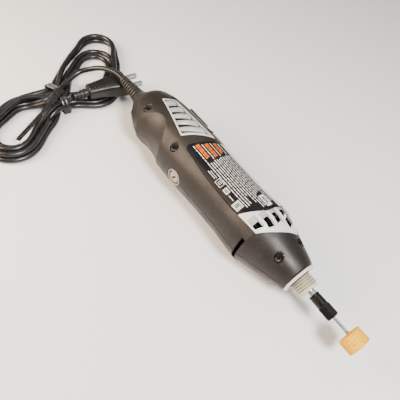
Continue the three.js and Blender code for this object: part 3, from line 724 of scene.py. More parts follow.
def make_vents():
    """The outlet plate: four slots, with a sunk ramp behind each, covered by a darker sheet of
    painted shade.
    """
    # Each slot's two sides, its front end at either side, and where its ramp begins.
    slots = [
        ((-16.6, -10.4), (-56.6, -54.2), -66.0),
        ((-7.8, -2.2), (-51.6, -50.2), -65.0),
        ((0.6, 6.2), (-50.0, -49.8), -64.5),
        ((9.3, 17.6), (-43.2, -46.6), -64.5),
    ]
    plate = wrapped(round_corners(VENT, 1.0), 0, INSERT_THICK)
    ramp_shades = []
    for (low, high), (front_low, front_high), ramp in slots:
        rear = -60.0 if low > -16 else -60.8
        outline = [(rear, low), (front_low, low), (front_high, high), (rear, high)]
        plate = cut(plate, prism(round_corners(outline, 0.6, 3), (1, 40)))
        rows = []
        for y in (low, high):
            top = surface_point(ramp, y)[2]
            bottom = surface_point(rear, y)[2] - 1.5
            foot = [(rear + 0.3, y, bottom), (rear + 0.3, y, bottom + 8)]
            rows.append([(ramp, y, top + 0.02), *foot])
        plate = cut(plate, loft(rows))
        # A thin sheet on each ramp, darker than the plate: painted shade.
        floor = [[Vector(row[0]), Vector(row[1])] for row in rows]
        lift = Vector((0, 0, 0.06))
        ramp_shades.append(loft([[a - lift * 3, b - lift * 3, b + lift, a + lift] for a, b in floor]))
    both_halves("vent_plate", plate, "silver", "front_vent", "silver_plastic")
    both_halves("vent_ramp_shade", merged(*ramp_shades), "ramp", "front_vent", "silver_plastic")


def patch(x, y, lift=0.08):
    """A thin printed rectangle that follows the surface."""
    bm = bmesh.new()
    columns = max(1, round((x[1] - x[0]) / 2.5))
    rows = max(1, round((y[1] - y[0]) / 1.5))
    grid = [
        [bm.verts.new(surface_point(px, py, lift)) for px in np.linspace(*x, columns + 1)]
        for py in np.linspace(*y, rows + 1)
    ]
    for a, b in zip(grid, grid[1:]):
        for i in range(columns):
            bm.faces.new((a[i], a[i + 1], b[i + 1], b[i]))
    return bm


def frame_patch(x, y, width, lift=0.08):
    """The outline of a rectangle, width millimetres wide."""
    rows = [patch(x, side, lift) for side in ((y[0], y[0] + width), (y[1] - width, y[1]))]
    return rows + [patch(side, y, lift) for side in ((x[0], x[0] + width), (x[1] - width, x[1]))]


def print_lines():
    """Rows of short bars in place of small print, which no one could read."""
    rng = random.Random(4)
    bars = []
    for i in range(12):
        y = -10.4 + i * 2.02
        start = -144 if i == 0 else -122.8 + 0.5 * (i % 3)
        end = -79.5 if 3 < y < 9.2 else -67
        if y < -1.5:
            end = -73.5 if i != 3 else -82
        x = start
        while x < end - 2:
            word = rng.uniform(2.2, 7.0)
            bars.append(patch((x, min(x + word, end)), (y, y + 0.6)))
            x += word + 0.8
    return bars


def block_print(x, y, rows, seed, lift=0.08):
    """A block of broken bars, as heavy print looks from a distance."""
    rng = random.Random(seed)
    bars = []
    pitch = (y[1] - y[0]) / rows
    for i in range(rows):
        low = y[0] + i * pitch
        place = x[0] + rng.uniform(0, 0.5)
        while place < x[1] - 1.5:
            word = rng.uniform(2.6, 5.0)
            bars.append(patch((place, min(place + word, x[1])), (low, low + pitch * 0.74), lift))
            place += word + 0.45
    return bars


def make_labels():
    plate = wrapped(round_corners(LABEL, 1.4), -0.02, 0.5)
    both_halves("label_plate", plate, "label", "label", "label")
    orange = [
        *block_print((-143.4, -127.4), (-8.6, -5.0), 2, 1),
        *block_print((-140.4, -125), (-1.9, 1.7), 2, 2),
        *block_print((-138, -125), (5.6, 9.0), 2, 3),
    ]
    white = print_lines()
    for low, high, y in ((-141.5, -124, -3.9), (-139.5, -124, 3.1), (-137, -124, 10.2)):
        white += block_print((low, high), (y, y + 0.8), 1, int(high))
    white += frame_patch((-107.5, -100.6), (-15.2, -10.9), 0.35)
    white += frame_patch((-105.6, -102.6), (-13.9, -12.1), 0.35)
    white.append(patch((-97.8, -92.6), (-15.0, -11.6)))
    white += block_print((-118.6, -109.5), (-13.9, -13.2), 1, 5)
    white += block_print((-117.4, -109), (-12.4, -11.8), 1, 6)
    white += block_print((-91.0, -85.4), (-14.4, -13.6), 1, 7)
    white.append(patch((-83.6, -76.4), (-17.2, -11.4)))
    white.append(patch((-77.0, -65.6), (3.6, 9.0)))
    dark = [
        *block_print((-97.2, -93.2), (-14.2, -12.3), 2, 9, 0.13),
        *frame_patch((-82.9, -77.1), (-16.6, -12.0), 0.3, 0.13),
        *block_print((-82.2, -77.6), (-15.9, -12.4), 3, 10, 0.13),
        *block_print((-75.4, -67.0), (4.8, 7.8), 2, 8, 0.13),
    ]
    both_halves("label_white_print", merged(*white), "white_ink", "label", "label")
    both_halves("label_orange_print", merged(*orange), "orange_ink", "label", "label")
    both_halves("label_dark_print", merged(*dark), "label", "label", "label")


def make_side_trims():
    strip = wrapped(round_corners(TRIM, 1.2), 0, 0.6)
    both_halves("trim_strip", strip, "silver", "side_trim", "silver_plastic")


# ---- Fasteners and nose ---------------------------------------------------------------------
def make_screws():
    for i, (x, y) in enumerate(SCREWS):
        for side, name in SIDES:
            seat = screw_seat(x, y) + GAP
            profile = [(0, 0), (0, 3.1), (1.5, 3.1), (2.2, 2.2), (2.3, 0)]
            head = revolve(soft([(seat + z, r) for z, r in profile]), 36)
            head = cut(head, cross((seat + 0.9, seat + 4), 1.8, 0.42))
            shank = disc((-9, seat + 0.5), 1.5, 20)
            screw = upright(merged(head, shank), x, side * y)
            node = f"housing_screw_{i + 1}_{name}"
            piece(f"screw_{i + 1}_{name}", screw, "screw", "tool", node, slot="black_steel")


def threaded_tube():
    """The nose: a right-hand thread of 12 turns to the inch outside, and a bore inside."""
    pitch = 25.4 / 12
    root, crest, length, end = 8.15, 9.4, 11.2, -0.35
    sides = 96
    thread = []
    for x in np.linspace(-length, end, 84):
        section = []
        for i in range(sides):
            share = i / sides
            phase = ((x + length) / pitch - share) % 1.0
            tooth = max(0.0, min(1.0, 1.4 - abs(phase - 0.5) * 4.8))
            fade = min(1.0, (x + length) / 0.8, (end - x) / 0.9 + 0.15)
            r = root + (crest - root) * tooth * max(0.0, fade)
            a = 2 * math.pi * share
            section.append((x, r * math.sin(a), r * math.cos(a)))
        thread.append(section)
    bore = [(-2.5, 5.4), (-18.6, 5.4)]
    back = [(-18.6, 5.4), (-18.6, 11), (-16.5, 11), (-16.5, root), (-11.3, root)]
    front = [(0, 8.1), (0, 7.7), (-0.2, 7.5), (-2.5, 6.6), (-2.5, 5.4)]
    back, front, bore = ([ring(x, r, sides) for x, r in rows] for rows in (back, front, bore))
    nose = merged(loft(back + thread + front, ends=False), loft(bore, ends=False))
    bmesh.ops.remove_doubles(nose, verts=nose.verts, dist=1e-5)
    bmesh.ops.recalc_face_normals(nose, faces=nose.faces)
    return nose


def make_nose():
    notches = [
        moved(box((-1.4, 1), (-1.1, 1.1), (6.9, 8.0)), turned(a, "X")) for a in (35, 125, 215, 305)
    ]
    nose = cut(threaded_tube(), *notches)
    piece("nose_thread", nose, "cream", "tool", "threaded_nose", crease=45, slot="cream_plastic")
    back, front = ends_of("nose_ring")
    profile = [(back, 9.7), (back, 14.8), (front, 14.8), (front, 9.7), (back, 9.7)]
    shoulder = revolve(soft(profile, 0.4)[:-1], 96)
    piece("nose_shoulder_ring", shoulder, "silver", "tool", "nose_ring", slot="silver_plastic")


# ---- Spindle, collet and bit ----------------------------------------------------------------
def make_spindle():
    profile = [
        (-164, 0), (-164, 2.7), (-150, 2.7), (-150, 3.5), (-50, 3.5), (-50, 4), (-36.5, 4),
        (-36.5, 6.2), (-29.5, 6.2), (-29.5, 3.7), (-17, 3.7), (-17, 3.5), (1.2, 3.5), (1.2, 3.2),
        (1.8, 3.2), (1.8, 3.5), (19, 3.5), (19, 3.1), (17, 2.5), (2, 2.5), (2, 0),
    ]
    pin_hole = disc((2.9, 8), 1.9, 24)
    upright(pin_hole, LOCK_X, 0)
    holes = [moved(pin_hole.copy(), turned(a, "X")) for a in (0, 90, 180, 270)]
    shaft = cut(revolve(soft(profile, 0.2)), *holes)
    piece("spindle", shaft, "steel", "spindle", "spindle_shaft", slot="steel")
    profile = [
        (3, 1.85), (3, 2.2), (16.9, 2.2), (19.6, 2.75), (21.5, 2.75), (23.4, 2.15), (23.4, 1.85),
        (3, 1.85),
    ]
    collet = cut(revolve(soft(profile, 0.1)[:-1], 48), cross((10, 30), 5, 0.2))
    piece("split_collet", collet, "steel", "spindle", "collet", slot="steel")


def make_collet_nut():
    """A hexagon with rounded ends, a sleeve with a groove behind it, and a stepped bore."""
    back, front = ends_of("collet_nut")
    hex_back, hex_across = 13.8, 9.5
    corner = hex_across / math.sqrt(3)
    hexagon = loft([ring(x, corner, 6, math.pi / 6) for x in (hex_back, front + 1)])
    rounded = [
        (hex_back, 0), (hex_back, 4.5), (hex_back + 1.4, 5.55), (front - 1.6, 5.55),
        (front - 0.5, 4.7), (front, 4.2), (front, 0),
    ]
    sleeve = [
        (back, 0), (back, 4.45), (back + 1.6, 4.45), (back + 1.6, 4.2), (back + 2.2, 4.2),
        (back + 2.2, 4.45), (hex_back + 0.6, 4.45), (hex_back + 0.6, 0),
    ]
    bore = [
        (back - 1, 0), (back - 1, 3.8), (19.3, 3.8), (21.8, 3.1), (23.5, 2.45), (30, 2.45), (30, 0),
    ]
    nut = within(hexagon, revolve(soft(rounded, 0.3), 96))
    nut = cut(combined("UNION", nut, revolve(soft(sleeve, 0.2), 72)), revolve(bore, 48))
    piece("nut", nut, "black_steel", "collet_nut", "collet_nut", crease=28, slot="black_steel")


def make_bit():
    shank = revolve(soft([(5, 0), (5, 1.5875), (48, 1.5875), (48, 0)], 0.25), 40)
    piece("shank", shank, "bright_steel", "bit", "bit_shank", slot="bright_steel")
    back, front = ends_of("grinding_stone")
    rng = np.random.default_rng(7)
    rows = [
        (back, 1.89), *[(back, r) for r in np.linspace(2.4, 8.7, 12)],
        (back + 0.12, 9.0), (back + 0.42, 9.24),
        *[(x, 9.3) for x in np.linspace(back + 0.9, front - 0.9, 18)],
        (front - 0.42, 9.24), (front - 0.12, 9.0),
        *[(front, r) for r in np.linspace(8.7, 0.6, 14)], (front, 0), (48.3, 0), (48.3, 1.89),
    ]
    stone = revolve(rows, 110)
    for vert in stone.verts:
        if vert.co.yz.length > 2.2:
            outward = Vector((0, vert.co.y, vert.co.z)).normalized()
            vert.co += outward * float(rng.normal(0, 0.035))
            vert.co.x += float(rng.normal(0, 0.03))
    name = "grinding_stone"
    piece("abrasive_wheel", stone, "stone", "bit", name, crease=70, slot=name)


# ---- Caps, controls and strain relief -------------------------------------------------------
def make_brush_caps():
    """A light rim, a groove, a paler face and a short driver slot, on a stem to the holder; the
    near-black floors in the groove and slot are painted shade.
    """
    face = outer_radius(CAP_X) - 0.1
    profile = [
        (24.8, 0), (24.8, 4.6), (face - 3, 4.6), (face - 3, CAP_R), (face - 0.4, CAP_R),
        (face, CAP_R - 0.4), (face, CAP_R - 1.1), (face - 1.0, CAP_R - 1.4),
        (face - 1.0, CAP_R - 2.3), (face - 0.5, CAP_R - 2.6), (face - 0.4, 0),
    ]
    for side, name in SIDES:
        slot = box((face - 1.8, face + 2), (-0.9, 0.9), (-3.1, 3.1))
        cover = cut(revolve(soft(profile, 0.2), 72), slot)
        groove = tube((face - 1.1, face - 0.6), (CAP_R - 2.6, CAP_R - 1.2), 72)
        # The groove's floor and the slot's floor, in near-black: painted shade.
        floor = merged(groove, box((face - 1.85, face - 0.8), (-0.85, 0.85), (-3.05, 3.05)))
        for part, bm, look in (("cover", cover, "cap"), ("groove", floor, "painted_shade")):
            bm = sideways(moved(bm, turned(CAP_TURN * side, "X")), CAP_X, side)
            node = f"brush_cap_{name}"
            piece(f"brush_{part}_{name}", bm, look, "tool", node, slot="cap_plastic")


def make_slider():
    r = outer_radius(SLIDER_X)
    knob = within(
        box((-188, -166), (-5.2, 5.2), (r - 1.8, r + 2)),
        moved(disc((-200, -150), 9, 96), shifted(0, 0, r - 7)),
    )
    grooves = [
        moved(disc((-4.6, 4.6), 0.75, 20), turned(90, "Z"), shifted(-183.4 + i * 3.2, 0, r + 2.1))
        for i in range(5)
    ]
    knob = cut(knob, *grooves)
    stem = box((-181, -175), (-2, 2), (8.5, r - 1.2))
    slider = moved(merged(knob, stem), turned(SLIDER_TURN, "X"))
    piece("slider_knob", slider, "black", "speed_slider", "speed_slider", slot="black_plastic")


def make_lock_button():
    top = outer_radius(LOCK_X)
    profile = [
        (7, 0), (7, 1.5), (15.2, 1.5), (15.2, 5.9), (16.4, 5.9), (16.4, 5.2), (top + 1.4, 5.2),
        (top + 0.9, 2.6), (top + 0.9, 0),
    ]
    button = moved(revolve(soft(profile, 0.45), 56), turned(90, "Y"), shifted(LOCK_X, 0, 0))
    piece("lock_cap", button, "black", "lock_button", "lock_button", slot="black_plastic")


def make_strain_relief():
    """A flared collar at the housing, then rings on a thin core down to the cord."""
    end = ends_of("strain_relief")[0]
    profile = [
        (-218.4, 0), (-218.4, 11), (-220.6, 11), (-220.6, 8.7), (-224.3, 8.7), (-224.3, 13.9),
        (-226, 14.4), (-228, 14.0), (-230.6, 11.8), (-233.4, 9.4), (-236.4, 7.9), (-238, 7.5),
    ]
    first, count = -238.6, 8
    pitch = (first - end - 1.2) / count
    webs = []
    for i in range(count):
        x, r = first - i * pitch, 7.0 - 0.34 * i
        rib = [(0, r - 1.9), (0.3, r - 1.9), (0.38, r - 0.1), (0.92, r - 0.3)]
        profile += [(x - pitch * k, radius) for k, radius in rib]
        x -= 0.12 * pitch
        for a in (0, 180):
            web = box((x - pitch * 0.3, x + pitch * 0.3), (-1.6, 1.6), (r - 3.3, r - 0.3))
            webs.append(moved(web, turned(a + 90 * (i % 2), "X")))
    relief = revolve(soft([*profile, (end + 0.6, 4.2), (end, 3.7), (end, 0)], 0.4, 2), 64)
    piece("relief_sleeve", merged(relief, *webs), "rubber", "tool", "strain_relief", slot="rubber")


# ---- Hidden pieces --------------------------------------------------------------------------
BEARINGS = [f"{end}_bearing_{race}" for end in ("front", "rear") for race in ("outer", "inner")]
# Look, slot and nodes.
INNER = [
    ("laminations", "laminations", ["field_core", "armature_core"]),
    ("windings", "copper", ["armature_winding", "field_coil_upper", "field_coil_lower"]),
    ("commutator", "copper", ["commutator"]),
    ("fan", "fan_plastic", ["cooling_fan"]),
    ("brass", "brass", ["brush_holder_left", "brush_holder_right"]),
    ("carbon", "carbon", ["carbon_brush_left", "carbon_brush_right"]),
    ("steel", "steel", ["brush_spring_left", "brush_spring_right"]),
    ("steel", "steel", ["clamp_screw_left", "clamp_screw_right", *BEARINGS]),
    ("rubber", "rubber", ["rear_bearing_sleeve"]),
    ("board", "black_plastic", ["switch_module"]),
    ("steel", "steel", ["lock_spring"]),
    ("board", "black_plastic", ["cord_clamp"]),
    ("cord", "cord_sheath", ["cord_tail"]),
]
BODY_OF = {
    node: body for body, nodes in frame["record"]["behaviour"]["bodies"].items() for node in nodes
}


def make_inner_pieces():
    """The sealed parts keep their shapes, with joined vertices and their edges broken."""
    for look, slot, node in [(look, slot, node) for look, slot, nodes in INNER for node in nodes]:
        bm = bmesh.new()
        bm.from_mesh(frame["nodes"][node].data)
        bm.transform(TOOL.inverted())
        bmesh.ops.remove_doubles(bm, verts=bm.verts, dist=1e-3)
        bmesh.ops.dissolve_limit(bm, angle_limit=math.radians(1), verts=bm.verts, edges=bm.edges)
        made = piece(f"{node}_part", bm, look, BODY_OF[node], node, slot=slot)
        bevel = made.modifiers.new("broken_edges", "BEVEL")
        bevel.width = 0.12 * MM
        bevel.segments = 2
        bevel.limit_method = "ANGLE"
        bevel.angle_limit = math.radians(35)
        if node == "lock_spring":
            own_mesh(made)


# ---- Cord -----------------------------------------------------------------------------------
CORD_D = 5.4
CORD_EXIT = [
    (-267.3, 0, 0), (-274, -0.4, -0.2), (-282, -1.8, -1.2), (-291, -4.8, -3.6),
    (-300, -9.8, -7.4), (-306.3, -17.8, -11.2), (-309.2, -26, -13.8), (-308, -34.8, -15.8),
    (-303.6, -43.2, -17), (-299.6, -48.8, -17.4),
]
CORD_HELD = 20  # points of the way down from the relief that don't settle
PLUG_HELD = 5  # points at the plug that don't settle
LEAST_BEND = 17  # the radius that tighter bends are opened towards
SETTLE_ROUNDS, CLOSING_ROUNDS = 260, 120
SETTLE_STEP, CORD_STEP = 3.0, 1.6  # between the line's points while it settles, and in the cord
TIE_X, TIE_Y, TAIL_TURN, TAIL_LONG = -294.5, -57.5, -57.5, 70
LAYERS = [SURFACE + 0.2 + CORD_D * (0.5 + 0.87 * i) for i in range(3)]
PLUG_PLACE = shifted(-277.2, -11, SURFACE + 5.9 + 0.3 + 8.2) @ turned(86, "Z")
PLUG_TAIL = PLUG_PLACE @ Vector((-37, 0, 0))

# The hank seen from above: behind the tie from its right-hand side round to its left-hand side,
# and towards the plug from left to right.
BACK_LOOP = [
    (-270, -76), (-261, -86), (-250, -97.5), (-242.5, -107.5), (-240, -118), (-242.5, -128.5),
    (-249.5, -136), (-258.5, -140.5), (-268.5, -141.3), (-278.5, -138.3), (-287, -131.5),
    (-294, -121.5), (-301, -107), (-306, -93),
]
OUTER_LOOP = [
    (-324, -40.5), (-338, -26.5), (-350, -11), (-360, 4), (-364.5, 12), (-366, 20), (-363.5, 28),
    (-357.5, 33.6), (-350, 35.4), (-342, 33.3), (-330, 28), (-314, 19.5), (-298, 10.5), (-283, 1.5),
    (-273, -8), (-269, -19), (-271, -30),
]
MIDDLE_LOOP = [
    (-319, -37), (-331, -22), (-340.5, -8), (-344.8, 1), (-345.5, 9), (-342, 16.5), (-335, 21.3),
    (-327, 21.8), (-318, 18), (-306, 10), (-294, 1), (-285, -9), (-281, -19), (-283, -30),
]
BACK_MIDDLE = (-266, -114)


def pulled_in(points, depth, middle):
    """Points moved towards the middle by depth."""
    inward = [(Vector(middle) - Vector(p)).normalized() for p in points]
    return [(x + way.x * depth, y + way.y * depth) for (x, y), way in zip(points, inward)]


def slid(points, start, end):
    """Points moved sideways by an amount that changes evenly from start to end."""
    shares = [i / (len(points) - 1) for i in range(len(points))]
    return [
        (x + start[0] + (end[0] - start[0]) * k, y + start[1] + (end[1] - start[1]) * k)
        for k, (x, y) in zip(shares, points)
    ]


def hank_route():
    """The cord's route as listed: out of the relief, then five loops behind the tie and four before
    it.
    """
    low, mid, top = LAYERS
    route = [*CORD_EXIT, (TIE_X - 1.5, TIE_Y, top - 1)]
    # Each loop's outline and height, and its way back through the tie. The last loop behind
    # the tie runs the other way round, to end at the plug.
    loops = [
        (pulled_in(BACK_LOOP, 2.8, BACK_MIDDLE), mid, (-8.4, low)),
        (slid(OUTER_LOOP, (0.5, 0.5), (-5.6, -1)), mid, (8.4, low)),
        (BACK_LOOP, low, (-14, low)),
        (OUTER_LOOP, low, (14, low)),
        (pulled_in(BACK_LOOP, 5.6, BACK_MIDDLE), low, (-5.6, mid)),
        (MIDDLE_LOOP, low, (2.8, low)),
        (pulled_in(BACK_LOOP, 8.4, BACK_MIDDLE), mid, (7, mid)),
        (slid(MIDDLE_LOOP, (3, 2), (-5.4, -2)), mid, (-2.8, low)),
        (pulled_in(BACK_LOOP[::-1], 5.6, BACK_MIDDLE), top, (12.5, mid + 1.5)),
    ]
    for outline, height, (side, z) in loops:
        route += [(x, y, height) for x, y in outline]
        route.append((TIE_X + side, TIE_Y, z))
    return route + [tuple(PLUG_TAIL), tuple(PLUG_PLACE @ Vector((-30, 0, 0)))]


def blend(t, start, end, a, b):
    return (end - t) / (end - start) * a + (t - start) / (end - start) * b


def curve_through(points, step):
    """Evenly spaced points on a smooth curve through points."""
    p = [np.array(q, float) for q in points]
    p = [2 * p[0] - p[1], *p, 2 * p[-1] - p[-2]]
    made = []
    for a, b, c, d in zip(p, p[1:], p[2:], p[3:]):
        steps = [max(np.linalg.norm(w - v), 1e-6) ** 0.5 for v, w in ((a, b), (b, c), (c, d))]
        t0, t1, t2, t3 = np.cumsum([0, *steps])
        for t in np.linspace(t1, t2, 24, endpoint=False):
            ab, bc, cd = blend(t, t0, t1, a, b), blend(t, t1, t2, b, c), blend(t, t2, t3, c, d)
            left, right = blend(t, t0, t2, ab, bc), blend(t, t1, t3, bc, cd)
            made.append(blend(t, t1, t2, left, right))
    made.append(p[-2])
    made = np.array(made)
    along = np.concatenate([[0], np.cumsum(np.linalg.norm(np.diff(made, axis=0), axis=1))])
    places = np.linspace(0, along[-1], round(along[-1] / step) + 1)
    return np.stack([np.interp(places, along, made[:, k]) for k in range(3)], axis=1)


def under_plug(p):
    """Which points lie below the plug, where only one layer of cord fits."""
    local = np.array(PLUG_PLACE.inverted())
    q = p @ local[:3, :3].T + local[:3, 3]
    return (q[:, 0] > -36) & (q[:, 0] < 22) & (np.abs(q[:, 1]) < 12.5)


def eased(p, rounds):
    """Takes short kinks out of a line between its held ends, without shrinking its loops."""
    for pull in (0.5, -0.52) * rounds:
        p[CORD_HELD:-PLUG_HELD] += pull * bowed(p[CORD_HELD - 1 : 1 - PLUG_HELD], 1)


def bowed(p, reach):
    """How far each point stands off the middle between its neighbours."""
    return (p[: -2 * reach] + p[2 * reach :]) / 2 - p[reach:-reach]


def unbent(p, reach, radius):
    """Opens the bends that are tighter than radius."""
    bow = bowed(p, reach)
    half = np.linalg.norm(p[2 * reach :] - p[: -2 * reach], axis=1) / 2
    long = np.maximum(np.linalg.norm(bow, axis=1), 1e-6)
    bow *= np.maximum(0, 1 - half**2 / (2 * radius) / long)[:, None]
    p[reach:-reach] += 0.5 * bow
    p[: -2 * reach] -= 0.25 * bow
    p[2 * reach :] -= 0.25 * bow


def part_strands(p, i, j, share):
    """Pushes strands that lie in each other apart, each by a share of the overlap."""
    d = p[j] - p[i]
    long = np.linalg.norm(d, axis=1)
    near = long < CORD_D
    d, long, a, b = d[near], long[near], i[near], j[near]
    d[:, 2] += np.where(np.abs(d[:, 2]) < 0.3, 0.3, 0)
    push = d / np.maximum(long, 0.5)[:, None] * ((CORD_D - long) * share)[:, None]
    np.add.at(p, b, push)
    np.add.at(p, a, -push)


def settled(p):
    """Lets the cord lie: gravity, stiffness, its own length, and strands that don't cross."""
    n = len(p)
    eased(p, 80)
    start = p.copy()
    rest = float(np.linalg.norm(np.diff(p, axis=0), axis=1).mean())
    held = np.zeros(n, bool)
    held[:CORD_HELD] = True
    held[-PLUG_HELD:] = True
    i, j = np.triu_indices(n, round(1.6 * CORD_D / rest))
    floor = LAYERS[0]

    def rest_on_floor():
        low = under_plug(p) & ~held
        p[low, 2] = np.minimum(p[low, 2], floor + 0.4)
        p[:, 2] = np.maximum(p[:, 2], floor)
        p[held] = start[held]

    for _ in range(SETTLE_ROUNDS):
        p[:, 2] -= 0.12
        for reach, stiffness in ((1, 0.25), (3, 0.3), (6, 0.15)):
            p[reach:-reach] += stiffness * (bowed(p, reach) - bowed(start, reach))
        p[:, :2] += 0.03 * (start[:, :2] - p[:, :2])
        for first in (0, 1):
            a, b = p[first:-1:2], p[first + 1 :: 2]
            d = b - a
            long = np.linalg.norm(d, axis=1, keepdims=True)
            move = d * (0.5 * (1 - rest / np.maximum(long, 1e-6)))
            a += move
            b -= move
        part_strands(p, i, j, 0.25)
        rest_on_floor()
    eased(p, 40)
    for _ in range(CLOSING_ROUNDS):
        eased(p, 1)
        for reach in (1, 2, 3):
            unbent(p, reach, LEAST_BEND)
        part_strands(p, i, j, 0.3)
        rest_on_floor()
    return p


def make_cord():
    line = settled(curve_through(hank_route(), SETTLE_STEP))[:-3]
    line = curve_through([line[0], *line[1:-1:2], line[-1]], CORD_STEP)
    curve = bpy.data.curves.new("mains_cord", "CURVE")
    curve.dimensions = "3D"
    curve.bevel_depth = CORD_D / 2 * MM
    curve.bevel_resolution = 5
    spline = curve.splines.new("POLY")
    spline.points.add(len(line) - 1)
    for point, place in zip(spline.points, line):
        point.co = (*at(*place), 1)
    spline.use_smooth = True
    cord = placed("mains_cord", curve)
    curve.materials.append(LOOK["cord"])
    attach(cord, "tool")
    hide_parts("cord", "cord_hank")
    make_plug() + [make_tie(line)]


def rounded_section(x, width, height, power=4.0, sides=64):
    """A cross-section with rounded corners, between an ellipse (2) and a rectangle."""
    def reach(k):
        return math.copysign(abs(k) ** (2 / power), k) / 2

    return [(x, width * reach(c), height * reach(s)) for _, s, c in ring(x, 1, sides)]


def plug_sections():
    """Width, height and squareness of the plug along its length, with the relief's ribs."""
    sections = []
    for x in np.arange(-37, -22.4, 0.4):
        size = 6.4 + 0.2 * (x + 37)
        groove = 2.0 if 0.5 < ((x + 37) / 3.7) % 1.0 < 0.9 else 0.0
        sections.append((x, size - groove, size - groove, 2.0))
    body = [
        (-22, 9.0, 9.0, 2.0), (-21.6, 12.8, 12.4, 3.0), (-21, 14.2, 13.4, 3.2),
        (-16, 15.0, 14.2, 3.2), (-9, 16.6, 15.0, 3.4), (-4, 17.8, 15.6, 3.6),
        (1, 18.8, 15.9, 3.8), (6, 20.6, 16.1, 4.2), (12, 23.6, 16.3, 4.8),
        (15.4, 24.9, 16.4, 5.0), (17, 25, 16.4, 5.0), (19.2, 25, 16.4, 5.0),
        (19.8, 24.4, 15.8, 5.0), (20, 23.4, 14.8, 5.0),
    ]
    return sections + body


def make_plug():
    skin = loft([rounded_section(*s) for s in plug_sections()])
    grips = []
    for side in (1, -1):
        for i in range(4):
            x = -17.5 + i * 3.6
            depth = 6.2 + i * 0.2
            grips.append(box((x, x + 1.6), (-5.2, 5.2), sorted((side * depth, side * 11))))
    body = moved(cut(skin, *grips), PLUG_PLACE)
    made = [piece("plug_shell", body, "plug", "tool", "plug_body", slot="cord_sheath")]
    for side, name in SIDES:
        y = side * 6.35
        outline = [(20.1, -3.2), (35.2, -3.2), (36.3, -2.2), (36.3, 2.2), (35.2, 3.2), (20.1, 3.2)]
        blade = moved(prism(outline, (-0.75, 0.75)), turned(90, "X"), shifted(0, y, 0))
        hole = moved(disc((-2, 2), 1.5, 24), turned(90, "Z"), shifted(31, y, 0))
        blade = moved(cut(blade, hole), PLUG_PLACE)
        node = f"plug_blade_{name}"
        made.append(piece(f"blade_{name}", blade, "blade", "tool", node, slot="bright_steel"))
    return made


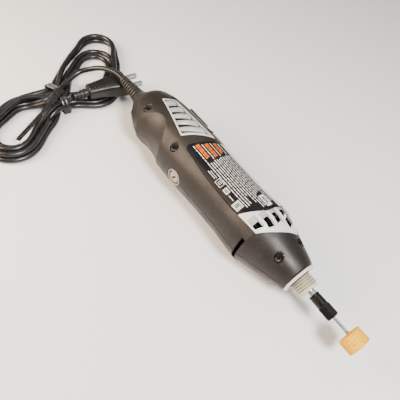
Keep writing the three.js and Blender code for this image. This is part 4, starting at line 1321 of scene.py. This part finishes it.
def make_tie(line):
    """A flat band wound twice round the bundle's neck, and its tail over the loops behind."""
    local = line - np.array([TIE_X, TIE_Y, 0])
    neck = local[np.abs(local[:, 1]) < 3.5]
    low_x, high_x = neck[:, 0].min() - CORD_D / 2, neck[:, 0].max() + CORD_D / 2
    top = neck[:, 2].max() + CORD_D / 2
    base = SURFACE + 0.3
    # The band lies over the strands' tops: its height at each place across the bundle.
    across = np.linspace(low_x, high_x, 25)
    cover = []
    for x in across:
        reach = np.abs(neck[:, 0] - x)
        near = reach < CORD_D / 2
        tops = neck[near, 2] + np.sqrt((CORD_D / 2) ** 2 - reach[near] ** 2)
        cover.append(tops.max() if near.any() else base + CORD_D / 2)
    cover = np.array(cover)
    for _ in range(60):
        cover[1:-1] = np.maximum(cover[1:-1], (cover[:-2] + cover[2:]) / 2)
    cover[0] = cover[-1] = base + CORD_D / 2

    def loop(y, grow):
        over = [(x, z + grow) for x, z in zip(across[1:-1], cover[1:-1])]
        left = [(low_x - grow, base + CORD_D * k) for k in (0.15, 0.5, 0.85)]
        right = [(high_x + grow, base + CORD_D * k) for k in (0.85, 0.5, 0.15)]
        under = [(x, max(SURFACE + 0.05, base - 0.1 - 0.2 * grow)) for x in across[::-1]]
        return [(x, y, z) for x, z in [*left, *over, *right, *under]]

    bands = []
    for low, high in ((-3.6, -0.3), (0.1, 3.5)):
        rows = [(low, 0.15), (low + 0.05, 0.9), (low + 0.35, 1.15)]
        rows += [(high - 0.35, 1.15), (high - 0.05, 0.9), (high, 0.15)]
        bands.append(loft([loop(y, g) for y, g in rows], ends=False))
    buckle = loft([rounded_section(x, 8.2, 2.4, 5.0, 32) for x in (-2.6, -2.2, 2.2, 2.6)])
    bands.append(moved(buckle, shifted(7, 0, top + 1.7)))
    spine = [(6, top + 1.9), (12, top + 1.3), (24, top + 0.4), (40, top - 0.6), (76, top - 1.4)]
    tail = []
    for u in np.linspace(6, 6 + TAIL_LONG, 24):
        z = np.interp(u, *zip(*spine))
        tail.append([(u, -2.3, z), (u, -2, z + 0.6), (u, 2, z + 0.6), (u, 2.3, z), (u, 0, z - 0.2)])
    strip = moved(loft(tail), shifted(-6, 0, 0), turned(TAIL_TURN, "Z"), shifted(7, 0, 0))
    tie = moved(merged(*bands, strip), shifted(TIE_X, TIE_Y, 0))
    return piece("band_tie", tie, "tie", "tool", "hank_tie", slot="cord_tie")


# ---- Floor and light ------------------------------------------------------------------------
def add_floor():
    bm = bmesh.new()
    bmesh.ops.create_grid(bm, x_segments=1, y_segments=1, size=3.0)
    floor = placed("floor", mesh_of("floor", bm))
    floor.location.z = -0.0002
    material = bpy.data.materials.new("floor")
    material.use_nodes = True
    shader = material.node_tree.nodes["Principled BSDF"]
    shader.inputs["Base Color"].default_value = (0.72, 0.72, 0.72, 1)
    shader.inputs["Roughness"].default_value = 0.9
    floor.data.materials.append(material)


def add_light(name, place, target, size, power, colour=(1, 1, 1)):
    data = bpy.data.lights.new(name, "AREA")
    data.shape = "DISK"
    data.size = size
    data.energy = power
    data.color = colour
    light = placed(name, data)
    light.location = place
    light.rotation_mode = "QUATERNION"
    light.rotation_quaternion = (Vector(target) - Vector(place)).to_track_quat("-Z", "Y")


def add_lights():
    middle = at(-110, 0, 0)
    add_light("key", at(345, -100, 650), middle, 0.22, 15, (1.0, 0.97, 0.93))
    add_light("warm_side", at(-420, -400, 280), at(-190, 0, 0), 0.4, 8.5, (1.0, 0.77, 0.57))
    add_light("top_fill", at(-250, 300, 900), middle, 1.0, 4, (0.96, 0.98, 1.0))
    world = bpy.data.worlds.new("studio")
    world.use_nodes = True
    background = world.node_tree.nodes["Background"]
    background.inputs["Color"].default_value = (0.93, 0.95, 1.0, 1)
    background.inputs["Strength"].default_value = 0.24
    bpy.context.scene.world = world


# ---- Everything -----------------------------------------------------------------------------
add_camera()
make_cord()
make_half(1)
make_half(-1)
make_louvres()
make_vents()
make_labels()
make_side_trims()
make_screws()
make_nose()
make_spindle()
make_collet_nut()
make_bit()
make_brush_caps()
make_slider()
make_lock_button()
make_strain_relief()
make_inner_pieces()
add_floor()
add_lights()
